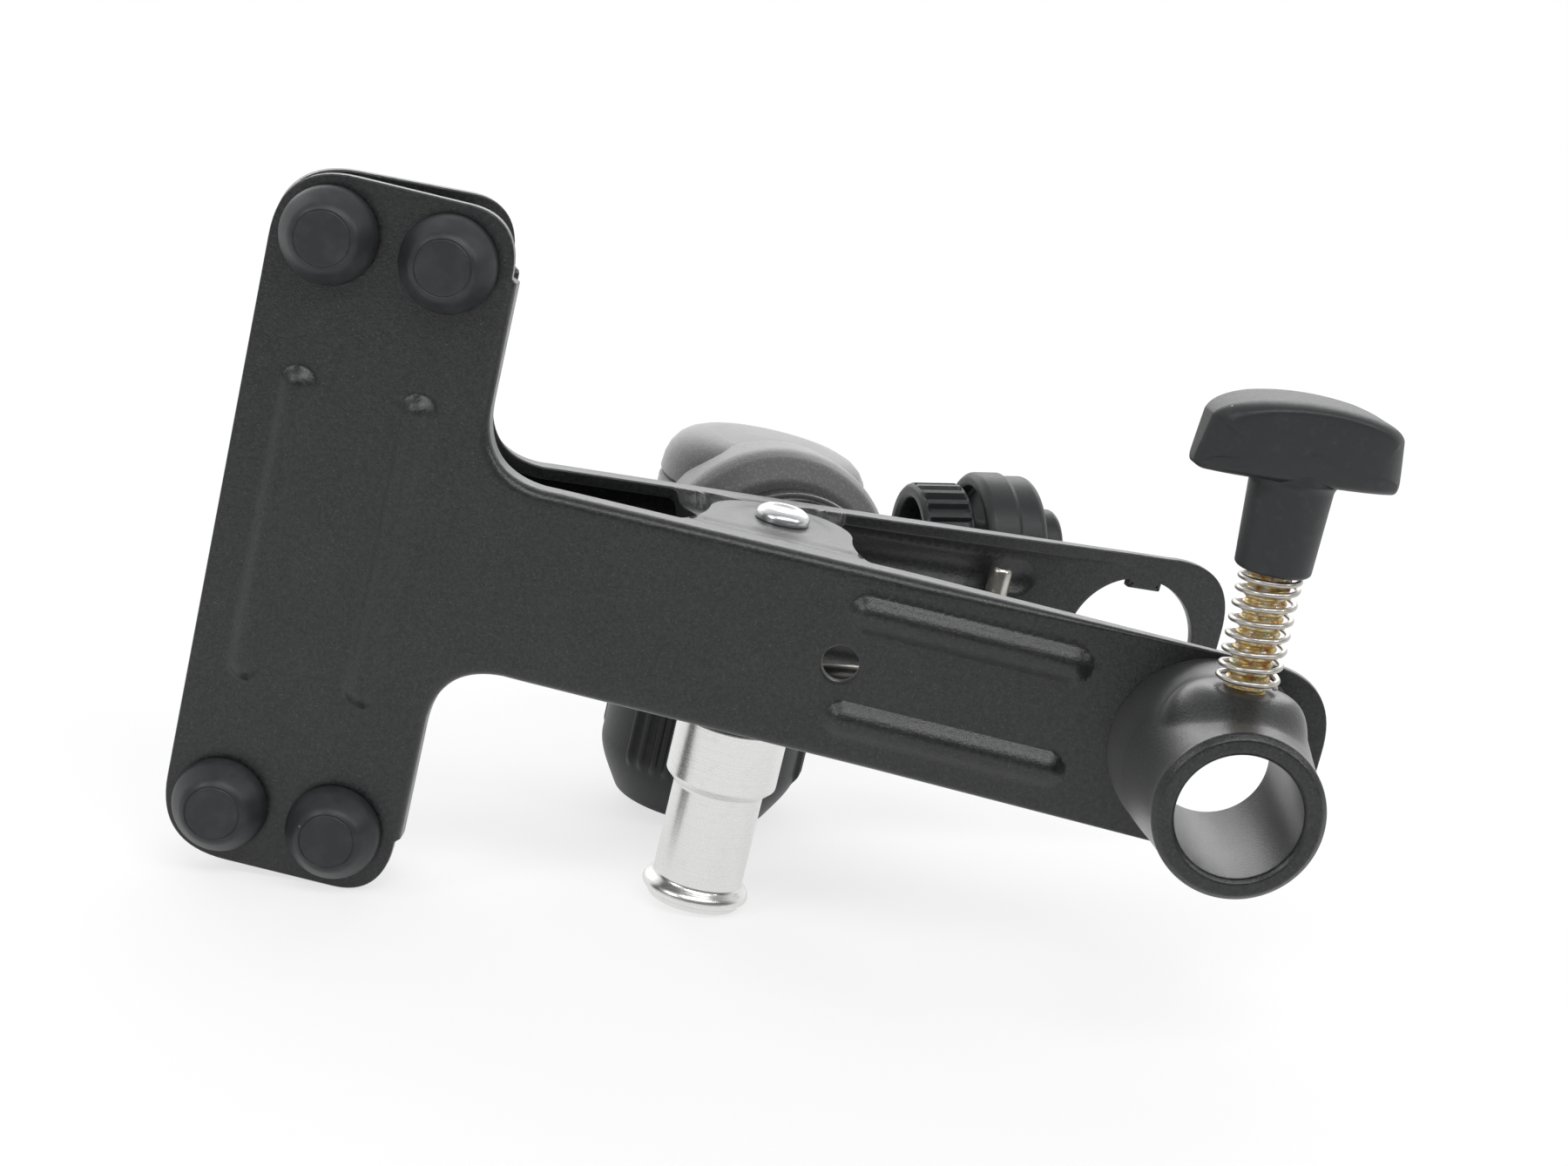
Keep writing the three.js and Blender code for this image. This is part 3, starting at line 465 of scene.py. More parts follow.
def powder_coat():
    """Satin black powder coat: a fine orange-peel grain, faint handling marks, dust and painted
    glints.
    """
    finish = Finish("satin_black_coat", {"Sheen Weight": 0.18, "Sheen Roughness": 0.4})
    grain = finish.noise(0.3, 3, 0.6)
    cloud = finish.noise(9, 4)
    speckle = finish.above(finish.noise(0.55, 4, 0.7), 0.36, 0.66)
    rubbed = finish.above(finish.noise(2.4, 5, 0.65), 0.62, 0.8)
    # Painted glints: small lighter flecks in the colour stand in for the coat's sparkle in the
    # light.
    painted_glint = finish.above(finish.noise(0.22, 2, 0.5), 0.62, 0.7)
    worn = speckle * 0.6 + cloud * 0.3 + rubbed * 0.2
    colour = finish.mixed(worn, grey(0.003, 0.9, 1.06), grey(0.027, 0.95, 1.04))
    colour = finish.mixed(painted_glint * 0.45, colour, grey(0.085))
    colour = finish.mixed(finish.specks(5.5, 0.13, 0.3), colour, grey(0.4))
    return finish.made(colour, 0.24 + grain * 0.12 + cloud * 0.05, (grain, 0.06, 0.85))


def rubber():
    """Matt rubber, slightly blue, with a dusty bloom."""
    finish = Finish("black_rubber", {"Specular IOR Level": 0.4})
    grain = finish.noise(0.25, 4)
    bloom = finish.above(finish.noise(3, 4, 0.6), 0.45, 0.75)
    colour = finish.mixed(bloom * 0.6, grey(0.02, 0.88, 1.1), grey(0.042, 0.92, 1.07))
    colour = finish.mixed(finish.specks(2.5, 0.1, 0.25), colour, grey(0.35))
    return finish.made(colour, 0.36 + grain * 0.16, (grain, 0.02, 0.4))


def moulded_plastic():
    """Charcoal moulded plastic with a spark-eroded grain and paler rubbed places."""
    finish = Finish("black_plastic", {"Specular IOR Level": 0.4})
    grain = finish.noise(0.4, 4, 0.6)
    rubbed = finish.above(finish.noise(1.6, 5, 0.7), 0.55, 0.8)
    colour = finish.mixed(rubbed * 0.6, grey(0.019, 0.93, 1.06), grey(0.046, 0.95, 1.05))
    colour = finish.mixed(finish.specks(3.2, 0.12, 0.25), colour, grey(0.4))
    return finish.made(colour, 0.36 + grain * 0.18, (grain, 0.05, 0.6))


def gloss_plastic():
    """Smoother black plastic of the ring that seats the ball head."""
    finish = Finish("gloss_black_plastic")
    grain = finish.noise(0.8, 3)
    colour = finish.mixed(grain, grey(0.012), grey(0.022))
    return finish.made(colour, 0.2 + grain * 0.14, (grain, 0.02, 0.25))


def sandy_paint():
    """Matt structured paint on a casting: a coarse sandy grain, with painted sparkle on its lighter
    grains.
    """
    finish = Finish("sandy_black_paint", {"Sheen Weight": 0.7, "Sheen Roughness": 0.5})
    grain = finish.noise(0.32, 5, 0.7)
    coarse = finish.noise(0.9, 3, 0.6)
    # Painted sparkle: lighter grains in the colour stand in for light caught by the sand.
    painted_sparkle = finish.above(grain, 0.5, 0.72)
    colour = finish.mixed(painted_sparkle * 0.8, grey(0.07, 1.0, 1.01), grey(0.2, 1.0, 1.01))
    return finish.made(colour, 0.42 + coarse * 0.2, (grain + coarse * 0.5, 0.08, 0.7))


def turned_aluminium():
    """Bright aluminium off the lathe: fine rings along the spigot and faint handling marks."""
    finish = Finish("turned_aluminium")
    settings, inputs = {"operation": "DOT_PRODUCT"}, {0: finish.place(), 1: tuple(up)}
    along = finish.node("ShaderNodeVectorMath", settings, inputs, "Value")
    inputs = {"W": along - pin.dot(up) / MM, "Scale": 5.5, "Detail": 3.0}
    rings = finish.node("ShaderNodeTexNoise", {"noise_dimensions": "1D"}, inputs)
    marks = finish.above(finish.noise(1.8, 4, 0.6), 0.56, 0.85)
    colour = finish.mixed(marks * 0.2 + rings * 0.4, grey(0.82, 1.0, 0.985), grey(0.62, 1.0, 0.985))
    return finish.made(colour, 0.2 + rings * 0.14 + marks * 0.06, (rings, 0.012, 0.35), 1.0)


def bright_zinc():
    """Bright zinc plate, a little clouded."""
    finish = Finish("bright_zinc")
    cloud = finish.noise(1.2, 5, 0.65)
    colour = finish.mixed(cloud, grey(0.8, 0.98, 1.02), grey(0.5))
    return finish.made(colour, 0.2 + cloud * 0.22, (finish.noise(0.3, 3), 0.015, 0.3), 1.0)


def spring_wire():
    """Drawn spring wire, pale and slightly tarnished, with small rust spots."""
    finish = Finish("spring_wire")
    tarnish = finish.noise(1.6, 4, 0.6)
    rust = finish.above(finish.noise(0.9, 5, 0.7), 0.6, 0.68)
    colour = finish.mixed(tarnish, (0.62, 0.6014, 0.5642, 1.0), (0.34, 0.323, 0.2924, 1.0))
    colour = finish.mixed(rust * 0.6, colour, (0.25, 0.11, 0.04, 1.0))
    roughness = 0.24 + tarnish * 0.14 + rust * 0.3
    return finish.made(colour, roughness, (tarnish + rust * 0.6, 0.02, 0.4), 0.95 - rust * 0.6)


def yellow_zinc():
    """Yellow passivated thread: orange rust in patches, with cream and greenish bloom."""
    finish = Finish("yellow_zinc")
    patch = finish.noise(1.7, 5, 0.65)
    rust = finish.above(patch, 0.52, 0.62)
    bloom = finish.above(finish.noise(1.1, 4, 0.6), 0.46, 0.6)
    green = finish.above(finish.noise(2.3, 3, 0.5), 0.5, 0.66)
    colour = finish.mixed(bloom, (0.66, 0.46, 0.16, 1.0), (0.84, 0.81, 0.66, 1.0))
    colour = finish.mixed(green * 0.7, colour, (0.46, 0.52, 0.32, 1.0))
    colour = finish.mixed(rust * 0.9, colour, (0.4, 0.13, 0.02, 1.0))
    return finish.made(colour, 0.36 + rust * 0.36, (patch + rust, 0.04, 0.5), 0.7 - rust * 0.6)


def turned_brass():
    finish = Finish("turned_brass")
    cloud = finish.noise(0.8, 4)
    colour = finish.mixed(cloud, (0.7, 0.5, 0.2, 1.0), (0.45, 0.3, 0.11, 1.0))
    return finish.made(colour, 0.28 + cloud * 0.2, (cloud, 0.01, 0.3), 1.0)


# Each finish with the slot of the record that it dresses.
COAT = powder_coat(), "coated_steel"
RUBBER = rubber(), "rubber"
PLASTIC = moulded_plastic(), "moulded"
GLOSS = gloss_plastic(), "moulded"
PAINT = sandy_paint(), "cast"
ALUMINIUM = turned_aluminium(), "aluminium"
ZINC = bright_zinc(), "zinc"
WIRE = spring_wire(), "spring_steel"
YELLOW = yellow_zinc(), "yellow_zinc"
BRASS = turned_brass()


class Form:
    """Points in millimetres and the faces between them."""

    def __init__(self):
        self.points = []
        self.faces = []

    def add(self, points):
        """Adds points and returns their indices."""
        first = len(self.points)
        self.points.extend(tuple(float(value) for value in point) for point in points)
        return list(range(first, len(self.points)))

    def bridge(self, rows):
        """Faces between closed rows of indices; a row of one index is a pole."""
        for lower, upper in zip(rows, rows[1:]):
            count = max(len(lower), len(upper))
            for i in range(count):
                k = (i + 1) % count
                if len(lower) == 1:
                    self.faces.append((lower[0], upper[k], upper[i]))
                elif len(upper) == 1:
                    self.faces.append((lower[i], lower[k], upper[0]))
                else:
                    self.faces.append((lower[i], lower[k], upper[k], upper[i]))

    def loft(self, rows, ring=False):
        """Faces over rows of points; ring joins the last row to the first."""
        made = [self.add(row) for row in rows]
        self.bridge(made + made[:1] if ring else made)
        return made


def polar(radius, turn):
    return radius * math.cos(turn), radius * math.sin(turn)


def full_turn(sides):
    return np.linspace(0, 2 * math.pi, sides, endpoint=False)


def rounded(profile):
    """A profile of (radius, height, rounding) with its corners rounded off."""
    points = [Vector(point[:2]) for point in profile]
    out = []
    for i, corner in enumerate(points):
        size = profile[i][2] if len(profile[i]) > 2 else 0
        if size == 0 or i in (0, len(points) - 1):
            out.append(corner)
            continue
        before = (points[i - 1] - corner).normalized() * size
        after = (points[i + 1] - corner).normalized() * size
        for share in np.linspace(0, 1, ARC_STEPS + 1):
            out.append(corner + before * (1 - share) ** 2 + after * share**2)
    return out


def lathe(profile, sides=ROUND_SIDES, shape=None):
    """A body turned about Z. shape(turn, radius, height) may alter a point's radius."""
    rows = []
    for radius, height in rounded(profile):
        turns = full_turn(sides) if radius > POLE else [0.0]
        reach = [shape(turn, radius, height) if shape else radius for turn in turns]
        rows.append([(*polar(r, t), height) for r, t in zip(reach, turns)])
    closed = profile[0][:2] == profile[-1][:2]
    form = Form()
    form.loft(rows[:-1] if closed else rows, ring=closed)
    return form


def wire_form(points, radius, sides):
    """A round wire along points, its ends rounded off."""
    points = [Vector(point) for point in points]
    longer = points[:1] + points + points[-1:]
    along = [(after - before).normalized() for before, after in zip(longer, longer[2:])]
    side = along[0].orthogonal().normalized()
    rows = []
    for point, way in zip(points, along):
        side = (side - way * side.dot(way)).normalized()
        over = way.cross(side)
        spokes = [side * math.cos(turn) + over * math.sin(turn) for turn in full_turn(sides)]
        rows.append([point + spoke * radius for spoke in spokes])

    def end(row, point, way):
        made = []
        for turn in (math.pi / 6, math.pi / 3):
            out = way * SOFT_EDGE * radius * math.sin(turn)
            shrink = 1 - SOFT_EDGE * (1 - math.cos(turn))
            made.append([point + (spot - point) * shrink + out for spot in row])
        return made + [[point + way * SOFT_EDGE * radius]]

    first, last = end(rows[0], points[0], -along[0]), end(rows[-1], points[-1], along[-1])
    form = Form()
    form.loft(first[::-1] + rows + last)
    return form


def placed(name, data):
    made = bpy.data.objects.new(name, data)
    bpy.context.scene.collection.objects.link(made)
    return made


def solid(name, form, base):
    """An object at the origin whose mesh lies in the part's frame."""
    mesh = bpy.data.meshes.new(name)
    mesh.from_pydata([base @ Vector(point) for point in form.points], [], form.faces)
    work = bmesh.new()
    work.from_mesh(mesh)
    bmesh.ops.remove_doubles(work, verts=work.verts, dist=WELD)
    bmesh.ops.recalc_face_normals(work, faces=work.faces)
    work.to_mesh(mesh)
    work.free()
    return placed(name, mesh)


def dressed(made, finish, body, nodes, weighted=True):
    """Gives an object its material and its body, and hides the plain nodes whose place it takes."""
    material, slot = finish
    made.data.shade_smooth()
    made.data.set_sharp_from_angle(angle=SMOOTH_ANGLE)
    made.data.materials.clear()
    made.data.materials.append(material)
    if weighted:
        modifier = made.modifiers.new("even_shading", "WEIGHTED_NORMAL")
        modifier.keep_sharp = True
    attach(made, body)
    if nodes:
        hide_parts(*nodes)
    return made


def piece(name, form, base, finish, body, *nodes, weighted=True):
    return dressed(solid(name, form, base), finish, body, nodes, weighted)


def smoothstep(value, low, high):
    share = min(1.0, max(0.0, (value - low) / (high - low)))
    return share * share * (3 - 2 * share)


# Plates


JAW_INNER = -JAW_REACH + JAW_WIDTH
JAW_TOP = JAW_HEIGHT / 2


def arm_half(x):
    share = (x - JAW_INNER) / (GRIP_REACH - JAW_INNER)
    return (ARM_WIDTH_AT_JAW + (ARM_WIDTH_AT_GRIP - ARM_WIDTH_AT_JAW) * share) / 2


def ear_depth(x):
    """How deep the hinge ear reaches into the clamp at a place along the arm."""
    reach = abs(x)
    if reach >= EAR_BASE / 2:
        return 0.0
    if reach <= EAR_RADIUS:
        return PIN_DEPTH + math.sqrt(EAR_RADIUS**2 - reach**2)
    rest = math.sqrt((reach - EAR_RADIUS) / (EAR_BASE / 2 - EAR_RADIUS))
    share = 1 - rest
    return SHEET / 2 * rest**2 + PIN_DEPTH * share * rest + PIN_DEPTH * share**2


def lip_depth(x, z):
    """The depth of the bent lip at a point of the outline, or the sheet where it is flat."""
    if x < JAW_INNER - LIP_RAMP:
        return SHEET
    fade = min(1.0, max(0.0, (LIP_END - x) / (LIP_END - LIP_FULL)))
    start = 1 - smoothstep(abs(z), LIP_NOTCH - LIP_RAMP, LIP_NOTCH + LIP_RAMP)
    lip = SHEET + (LIP_DEPTH - SHEET) * fade * start
    return max(lip, ear_depth(x)) if abs(z) < CROTCH_RADIUS + ARM_WIDTH_AT_JAW / 2 else lip


def arm_places():
    """Places along the arm's edge, close together where an ear's outline is steep."""
    turns = np.linspace(-math.pi / 2, math.pi / 2, 41)
    places = [EAR_RADIUS * math.sin(turn) for turn in turns]
    for share in np.linspace(0, 0.95, 14):
        reach = EAR_RADIUS + (EAR_BASE / 2 - EAR_RADIUS) * (1 - share) ** 2
        places += [reach, -reach]
    start = JAW_INNER + CROTCH_RADIUS
    places += list(np.arange(start + EDGE_STEP, -EAR_BASE / 2 - 0.5, EDGE_STEP))
    places += list(np.arange(EAR_BASE / 2 + 1.0, GRIP_REACH - GRIP_RADIUS - 1.0, EDGE_STEP))
    return sorted(places)


def curve(start, corner, end, count):
    a, b, c = Vector(start), Vector(corner), Vector(end)
    shares = np.linspace(0, 1, count, endpoint=False)
    return [a * (1 - s) ** 2 + b * 2 * (1 - s) * s + c * s * s for s in shares]


def line(start, end, step):
    a, b = Vector(start), Vector(end)
    count = max(1, round((b - a).length / step))
    return [a.lerp(b, i / count) for i in range(count)]


def plate_outline():
    """The T outline in X and Z, clockwise from the lower left."""
    left, top, right, end = -JAW_REACH, JAW_TOP, JAW_INNER, GRIP_REACH
    outer, inner, crotch, grip = JAW_OUTER_RADIUS, JAW_INNER_RADIUS, CROTCH_RADIUS, GRIP_RADIUS
    waist, hand = ARM_WIDTH_AT_JAW / 2, ARM_WIDTH_AT_GRIP / 2
    upper = line((left, 0), (left, top - outer), EDGE_STEP)
    upper += curve((left, top - outer), (left, top), (left + outer, top), 16)
    upper += line((left + outer, top), (right - inner, top), EDGE_STEP)
    upper += curve((right - inner, top), (right, top), (right, top - inner), 16)
    upper += line((right, top - inner), (right, LIP_NOTCH - 1), NOTCH_STEP)
    upper += line((right, LIP_NOTCH - 1), (right, waist + crotch), EDGE_STEP)
    upper += curve((right, waist + crotch), (right, waist), (right + crotch, waist), 20)
    upper += [Vector((x, arm_half(x))) for x in arm_places()]
    upper += curve((end - grip, hand), (end, hand), (end, hand - grip), 18)
    upper += line((end, hand - grip), (end, 0), EDGE_STEP)
    lower = [Vector((point.x, -point.y)) for point in upper]
    return upper + [Vector((end, 0))] + lower[:0:-1]


def inward(points):
    """The unit vectors that point into the sheet at each point of a clockwise outline."""
    out = []
    for i, point in enumerate(points):
        step = points[(i + 1) % len(points)] - points[i - 1]
        out.append(Vector((step.y, -step.x)).normalized())
    return out


def rib_distance(x, z):
    """The distance from the nearest rib's middle line."""
    nearest = math.inf
    for (x0, z0), (x1, z1) in RIBS:
        span = Vector((x1 - x0, z1 - z0))
        share = ((x - x0) * span.x + (z - z0) * span.y) / span.length_squared
        share = min(1.0, max(0.0, share))
        nearest = min(nearest, math.hypot(x - x0 - share * span.x, z - z0 - share * span.y))
    return nearest


def rib_places():
    half = (JAW_RIB_LENGTH - RIB_WIDTH) / 2
    first = -JAW_REACH + JAW_RIB_EDGE
    places = [((x, -half), (x, half)) for x in (first, first + JAW_RIB_SPACING)]
    start = ARM_RIB_START + RIB_WIDTH / 2
    end = ARM_RIB_START + ARM_RIB_LENGTH - RIB_WIDTH / 2
    for z in (ARM_RIB_SPACING / 2, -ARM_RIB_SPACING / 2):
        places.append(((start, z), (end, z)))
    return places


RIBS = rib_places()


def rib_rise(x, z):
    """How far a rib stands out at a point, as a share of its height."""
    share = min(1.0, rib_distance(x, z) / (RIB_WIDTH / 2 + RIB_SPREAD))
    return (1 - share**2) ** RIB_DOME


def hole_loop(x, diameter, tab=False):
    """A hole's edge, counted so that the sheet lies outside it; a tab may hang from its top."""
    radius = diameter / 2
    if not tab:
        return [Vector((x + a, b)) for a, b in (polar(radius, turn) for turn in full_turn(40))]
    corner = math.asin(TAB_WIDTH / diameter)
    turns = np.linspace(math.pi / 2 + corner, math.pi * 5 / 2 - corner, 90)
    half, foot = TAB_WIDTH / 2, radius - TAB_HEIGHT
    right = (x + half, foot + CUT_EDGE), (x + half, foot), (x + half - CUT_EDGE, foot)
    left = (x - half + CUT_EDGE, foot), (x - half, foot), (x - half, foot + CUT_EDGE)
    points = [Vector((x + a, b)) for a, b in (polar(radius, turn) for turn in turns)]
    return points + curve(*right, 5) + line(right[2], left[0], 1) + curve(*left, 5)


def inside_polygon(x, z, polygon):
    """Which of the points x, z lie inside a polygon."""
    found = np.zeros(x.shape, bool)
    for a, b in zip(polygon, polygon[-1:] + polygon[:-1]):
        if a.y != b.y:
            crosses = (a.y > z) != (b.y > z)
            found ^= crosses & (x < (b.x - a.x) * (z - a.y) / (b.y - a.y) + a.x)
    return found


def near_line(x, z, polygon, reach):
    """Which of the points lie within a reach of a polygon's points."""
    nearest = np.full(x.shape, np.inf)
    for point in polygon:
        nearest = np.minimum(nearest, np.hypot(x - point.x, z - point.y))
    return nearest < reach


def grid_points(border, holes):
    """Points for the flat of the sheet: wide apart, and close together about the ribs."""
    kept = []
    for step, margin in ((COARSE_GRID, COARSE_MARGIN), (FINE_GRID, FINE_MARGIN)):
        xs = np.arange(-JAW_REACH, GRIP_REACH, step)
        zs = np.arange(-JAW_TOP, JAW_TOP, step)
        x, z = (grid.ravel() for grid in np.meshgrid(xs, zs))
        distance = np.array([rib_distance(a, b) for a, b in zip(x, z)])
        ribbed = distance < RIB_WIDTH / 2 + RIB_SPREAD + FINE_GRID
        keep = (ribbed if step == FINE_GRID else ~ribbed) & inside_polygon(x, z, border)
        keep &= ~near_line(x, z, border, margin)
        for hole in holes:
            keep &= ~inside_polygon(x, z, hole) & ~near_line(x, z, hole, margin)
        kept += [Vector((a, b)) for a, b in zip(x[keep], z[keep])]
    return kept


def sheet_faces(form, border, holes):
    """Fills both sides of the sheet; returns each loop's indices on the outer and inner face."""
    loops = [border] + holes
    points = [point for loop in loops for point in loop]
    starts = [sum(len(loop) for loop in loops[:i]) for i in range(len(loops))]
    edges = []
    for first, loop in zip(starts, loops):
        edges += [(first + i, first + (i + 1) % len(loop)) for i in range(len(loop))]
    flat = delaunay_2d_cdt(points + grid_points(border, holes), edges, [], 0, MERGE)
    places, triangles, origins = flat[0], flat[2], flat[3]
    x = np.array([sum(places[k].x for k in face) / 3 for face in triangles])
    z = np.array([sum(places[k].y for k in face) / 3 for face in triangles])
    keep = inside_polygon(x, z, border)
    for hole in holes:
        keep &= ~inside_polygon(x, z, hole)
    rises = [rib_rise(place.x, place.y) for place in places]
    outer = form.add([(p.x, -RIB_HEIGHT * rise, p.y) for p, rise in zip(places, rises)])
    inner = form.add([(p.x, SHEET - CHANNEL_DEPTH * rise, p.y) for p, rise in zip(places, rises)])
    for face, kept in zip(triangles, keep):
        if kept:
            form.faces.append(tuple(outer[k] for k in face))
            form.faces.append(tuple(inner[k] for k in reversed(face)))
    found = {source: place for place, origin in enumerate(origins) for source in origin}
    rows = []
    for first, loop in zip(starts, loops):
        indices = [found[first + i] for i in range(len(loop))]
        rows.append(([outer[k] for k in indices], [inner[k] for k in indices]))
    return rows


def round_off(radius, turns):
    """How far a rounded corner stays back from its two sides, at each turn."""
    return [(radius * (1 - math.sin(turn)), radius * (1 - math.cos(turn))) for turn in turns]


def edge_section(depth, step_in):
    """The outline's section as insets and depths, from the outer face round to the inner."""
    bent = min(1.0, max(0.0, (depth - SHEET) / (LIP_DEPTH - SHEET)))
    bend = CUT_EDGE + (BEND - CUT_EDGE) * bent
    back_rim = CUT_EDGE * bent
    low = SHEET + INNER_BEND * bent

    def jog(y):
        return step_in * smoothstep(y, LIP_DEPTH + 0.2, LIP_DEPTH + 2.0)

    rows = round_off(bend, np.linspace(0, math.pi / 2, ARC_STEPS))
    wall = np.linspace(0, 1, WALL_ROWS + 1)[1:] ** 1.4
    for share in wall:
        y = bend + (depth - CUT_EDGE - bend) * share
        rows.append((jog(y), y))
    outer = jog(depth)
    rows += [(outer + b, depth - a) for a, b in round_off(CUT_EDGE, THIRDS)]
    rows += [(outer + SHEET - a, depth - b) for a, b in round_off(back_rim, HALVES)]
    inset = SHEET
    for share in wall[::-2]:
        y = low + (depth - back_rim - low) * share
        inset += WALL_DRAFT
        rows.append((jog(y) + inset, y))
    inset += 3 * WALL_DRAFT
    return rows + [(inset + b, SHEET + a) for a, b in round_off(INNER_BEND * bent, THIRDS)]


def step_back(point):
    """How far the jaw's edge lies behind the lip, beyond the notch where the lip ends."""
    if point.x > JAW_INNER:
        return 0.0
    beyond = smoothstep(abs(point.y), LIP_NOTCH - CUT_EDGE, LIP_NOTCH + CUT_EDGE)
    return LIP_PROUD * beyond * smoothstep(point.x, JAW_INNER - JAW_INNER_RADIUS, JAW_INNER)


def ear_relief(point, y, outer):
    """How far the ears' dish stands out, less the groove round their outer foot."""
    if y <= LIP_DEPTH or abs(point.y) >= JAW_TOP / 2:
        return 0.0
    spread = math.hypot(point.x, y - PIN_DEPTH)
    dish = EAR_DISH_HEIGHT * (1 - smoothstep(spread, EAR_DISH - 1.5, EAR_DISH))
    off = (y - EAR_GROOVE) / EAR_GROOVE_WIDTH
    return dish - (EAR_GROOVE_DEPTH * math.exp(-off * off) if outer else 0.0)


def plate_form(step_in, hole_reach):
    """A T plate: flat sheet with ribs, its edge bent in along the arm, and two hinge ears."""
    form = Form()
    outline = plate_outline()
    normals = inward(outline)
    loops = [hole_loop(hole_reach, LEG_HOLE), hole_loop(GRIP_HOLE_REACH, GRIP_HOLE, tab=True)]
    away = [inward(loop) for loop in loops]

    def shifted(points, ways, step):
        return [point + way * step for point, way in zip(points, ways)]

    holes = [shifted(loop, ways, CUT_EDGE * 2) for loop, ways in zip(loops, away)]
    rows = sheet_faces(form, shifted(outline, normals, BORDER), holes)

    sections = [edge_section(lip_depth(point.x, point.y), step_in) for point in outline]
    strips = []
    for k in range(len(sections[0])):
        strip = []
        for point, normal, section in zip(outline, normals, sections):
            inset, y = section[k]
            if not step_in:
                inset -= ear_relief(point, y, k < ARC_STEPS + WALL_ROWS)
            spot = point + normal * inset
            strip.append((spot.x - step_back(point), y, spot.y))
        strips.append(form.add(strip))
    form.bridge([rows[0][0], *strips, rows[0][1]])

    edge = round_off(CUT_EDGE, HALVES)
    section = edge + [(inset, SHEET - y) for inset, y in edge[::-1]]
    for loop, ways, (outer, inner) in zip(loops, away, rows[1:]):
        strips = []
        for inset, y in section:
            strips.append(form.add([(spot.x, y, spot.y) for spot in shifted(loop, ways, inset)]))
        form.bridge([outer, *strips, inner])
    return form


def foot_form():
    """A rubber foot: domed outside with a groove round its flat, and a pad inside."""
    deep = -SHEET - 2 * SEAT
    pad, face, base = FOOT_PAD / 2, FOOT_FACE / 2, FOOT_BASE / 2
    return lathe([
        (0, deep - FOOT_PAD_HEIGHT),
        (pad, deep - FOOT_PAD_HEIGHT, 0.25),
        (pad, deep, 0.1),
        (pad / 2, deep),
        (pad / 2, SEAT / 2),
        (base - 0.5, 0.02, 0.1),
        (base, 0.3, 0.25),
        (base - 0.05, FOOT_SHOULDER / 2, 0.8),
        (base - 1.1, FOOT_SHOULDER + 0.1, 1.0),
        (face + 0.75, FOOT_HEIGHT - 0.35, 0.6),
        (face + 0.16, FOOT_HEIGHT - 0.05, 0.1),
        (face + 0.02, FOOT_HEIGHT - FOOT_GROOVE, 0.06),
        (face - 0.12, FOOT_HEIGHT - 0.02, 0.08),
        (face - 0.5, FOOT_HEIGHT),
        (0, FOOT_HEIGHT),
    ], FOOT_SIDES)


for side, base, step_in, hole_reach in (
    ("front", FRONT, 0.0, LEG_HOLE_REACH),
    ("rear", REAR, SHEET + SEAT, HEAD_REACH),
):
    body, plate = side + "_jaw", side + "_plate"
    piece("stamped_" + plate, plate_form(step_in, hole_reach), base, COAT, body, plate)
    spots = [(step, z) for z in (FOOT_ROW, -FOOT_ROW) for step in (0, FOOT_SPACING)]
    for number, (step, z) in enumerate(spots, 1):
        place = moved(base, x=-JAW_REACH + FOOT_FIRST + step, y=-SEAT, z=z)
        foot = f"{side}_foot_{number}"
        piece("rubber_" + foot, foot_form(), spun(place, math.pi / 2, "X"), RUBBER, body, foot)


# Hinge, torsion spring and spigot


EAR_TOP = arm_half(0)
SPIGOT_TOP = -EAR_TOP - 2 * SEAT - WASHER_HEIGHT


def bolt_form():
    """The pin with its peened head, a shallow dish in its crown."""
    foot = EAR_TOP + SEAT
    crown = foot + BOLT_HEAD_HEIGHT
    return lathe([
        (0, SPIGOT_TOP - BOLT_IN_SPIGOT),
        (BOLT / 2, SPIGOT_TOP - BOLT_IN_SPIGOT, 0.3),
        (BOLT / 2, foot),
        (BOLT_HEAD / 2, foot, 0.15),
        (BOLT_HEAD / 2, foot + BOLT_HEAD_HEIGHT * 0.55, 0.7),
        (BOLT / 2 - 0.2, crown - 0.05, 0.6),
        (BOLT / 2 - 0.9, crown - 0.6, 0.35),
        (0, crown - 0.75),
    ], PIN_SIDES)


def spigot_form():
    """The turned spigot: full collar, long neck and a rounded foot ring."""
    bottom = -SPIGOT_DEPTH
    neck_foot = bottom + SPIGOT_FOOT_HEIGHT
    full, foot, neck, hole = SPIGOT / 2, SPIGOT_FOOT / 2, SPIGOT_NECK / 2, BOLT / 2 + BOLT_PLAY
    return lathe([
        (0, bottom + 0.35),
        (foot - 4.5, bottom + 0.35, 0.3),
        (foot - 4.1, bottom, 0.15),
        (foot - 1.0, bottom, 0.3),
        (foot - 0.75, bottom + 0.8, 0.35),
        (foot, bottom + 1.2, 0.5),
        (foot, neck_foot - 1.1, 0.6),
        (neck, neck_foot, 0.4),
        (neck, -SPIGOT_SHOULDER - SPIGOT_CHAMFER, 0.3),
        (full, -SPIGOT_SHOULDER, 0.25),
        (full, SPIGOT_TOP - 0.5, 0.3),
        (full - 0.5, SPIGOT_TOP, 0.3),
        (hole, SPIGOT_TOP),
        (hole, SPIGOT_TOP - SPIGOT_BORE_DEPTH),
        (0, SPIGOT_TOP - SPIGOT_BORE_DEPTH),
    ], TURNED_SIDES)


def ring_form(radius, low, high, edge=0.2):
    """A plain ring about the pin."""
    hole = BOLT / 2 + BOLT_PLAY
    corners = [(hole, low, 1, 1), (radius, low, -1, 1), (radius, high, -1, -1), (hole, high, 1, -1)]
    profile = []
    for number, (x, z, right, above) in enumerate(corners):
        pair = [(x, z + above * edge, edge / 2), (x + right * edge, z, edge / 2)]
        profile += pair[::-1] if number % 2 else pair
    return lathe([profile[0][:2], *profile[1:], profile[0][:2]], SMALL_SIDES)


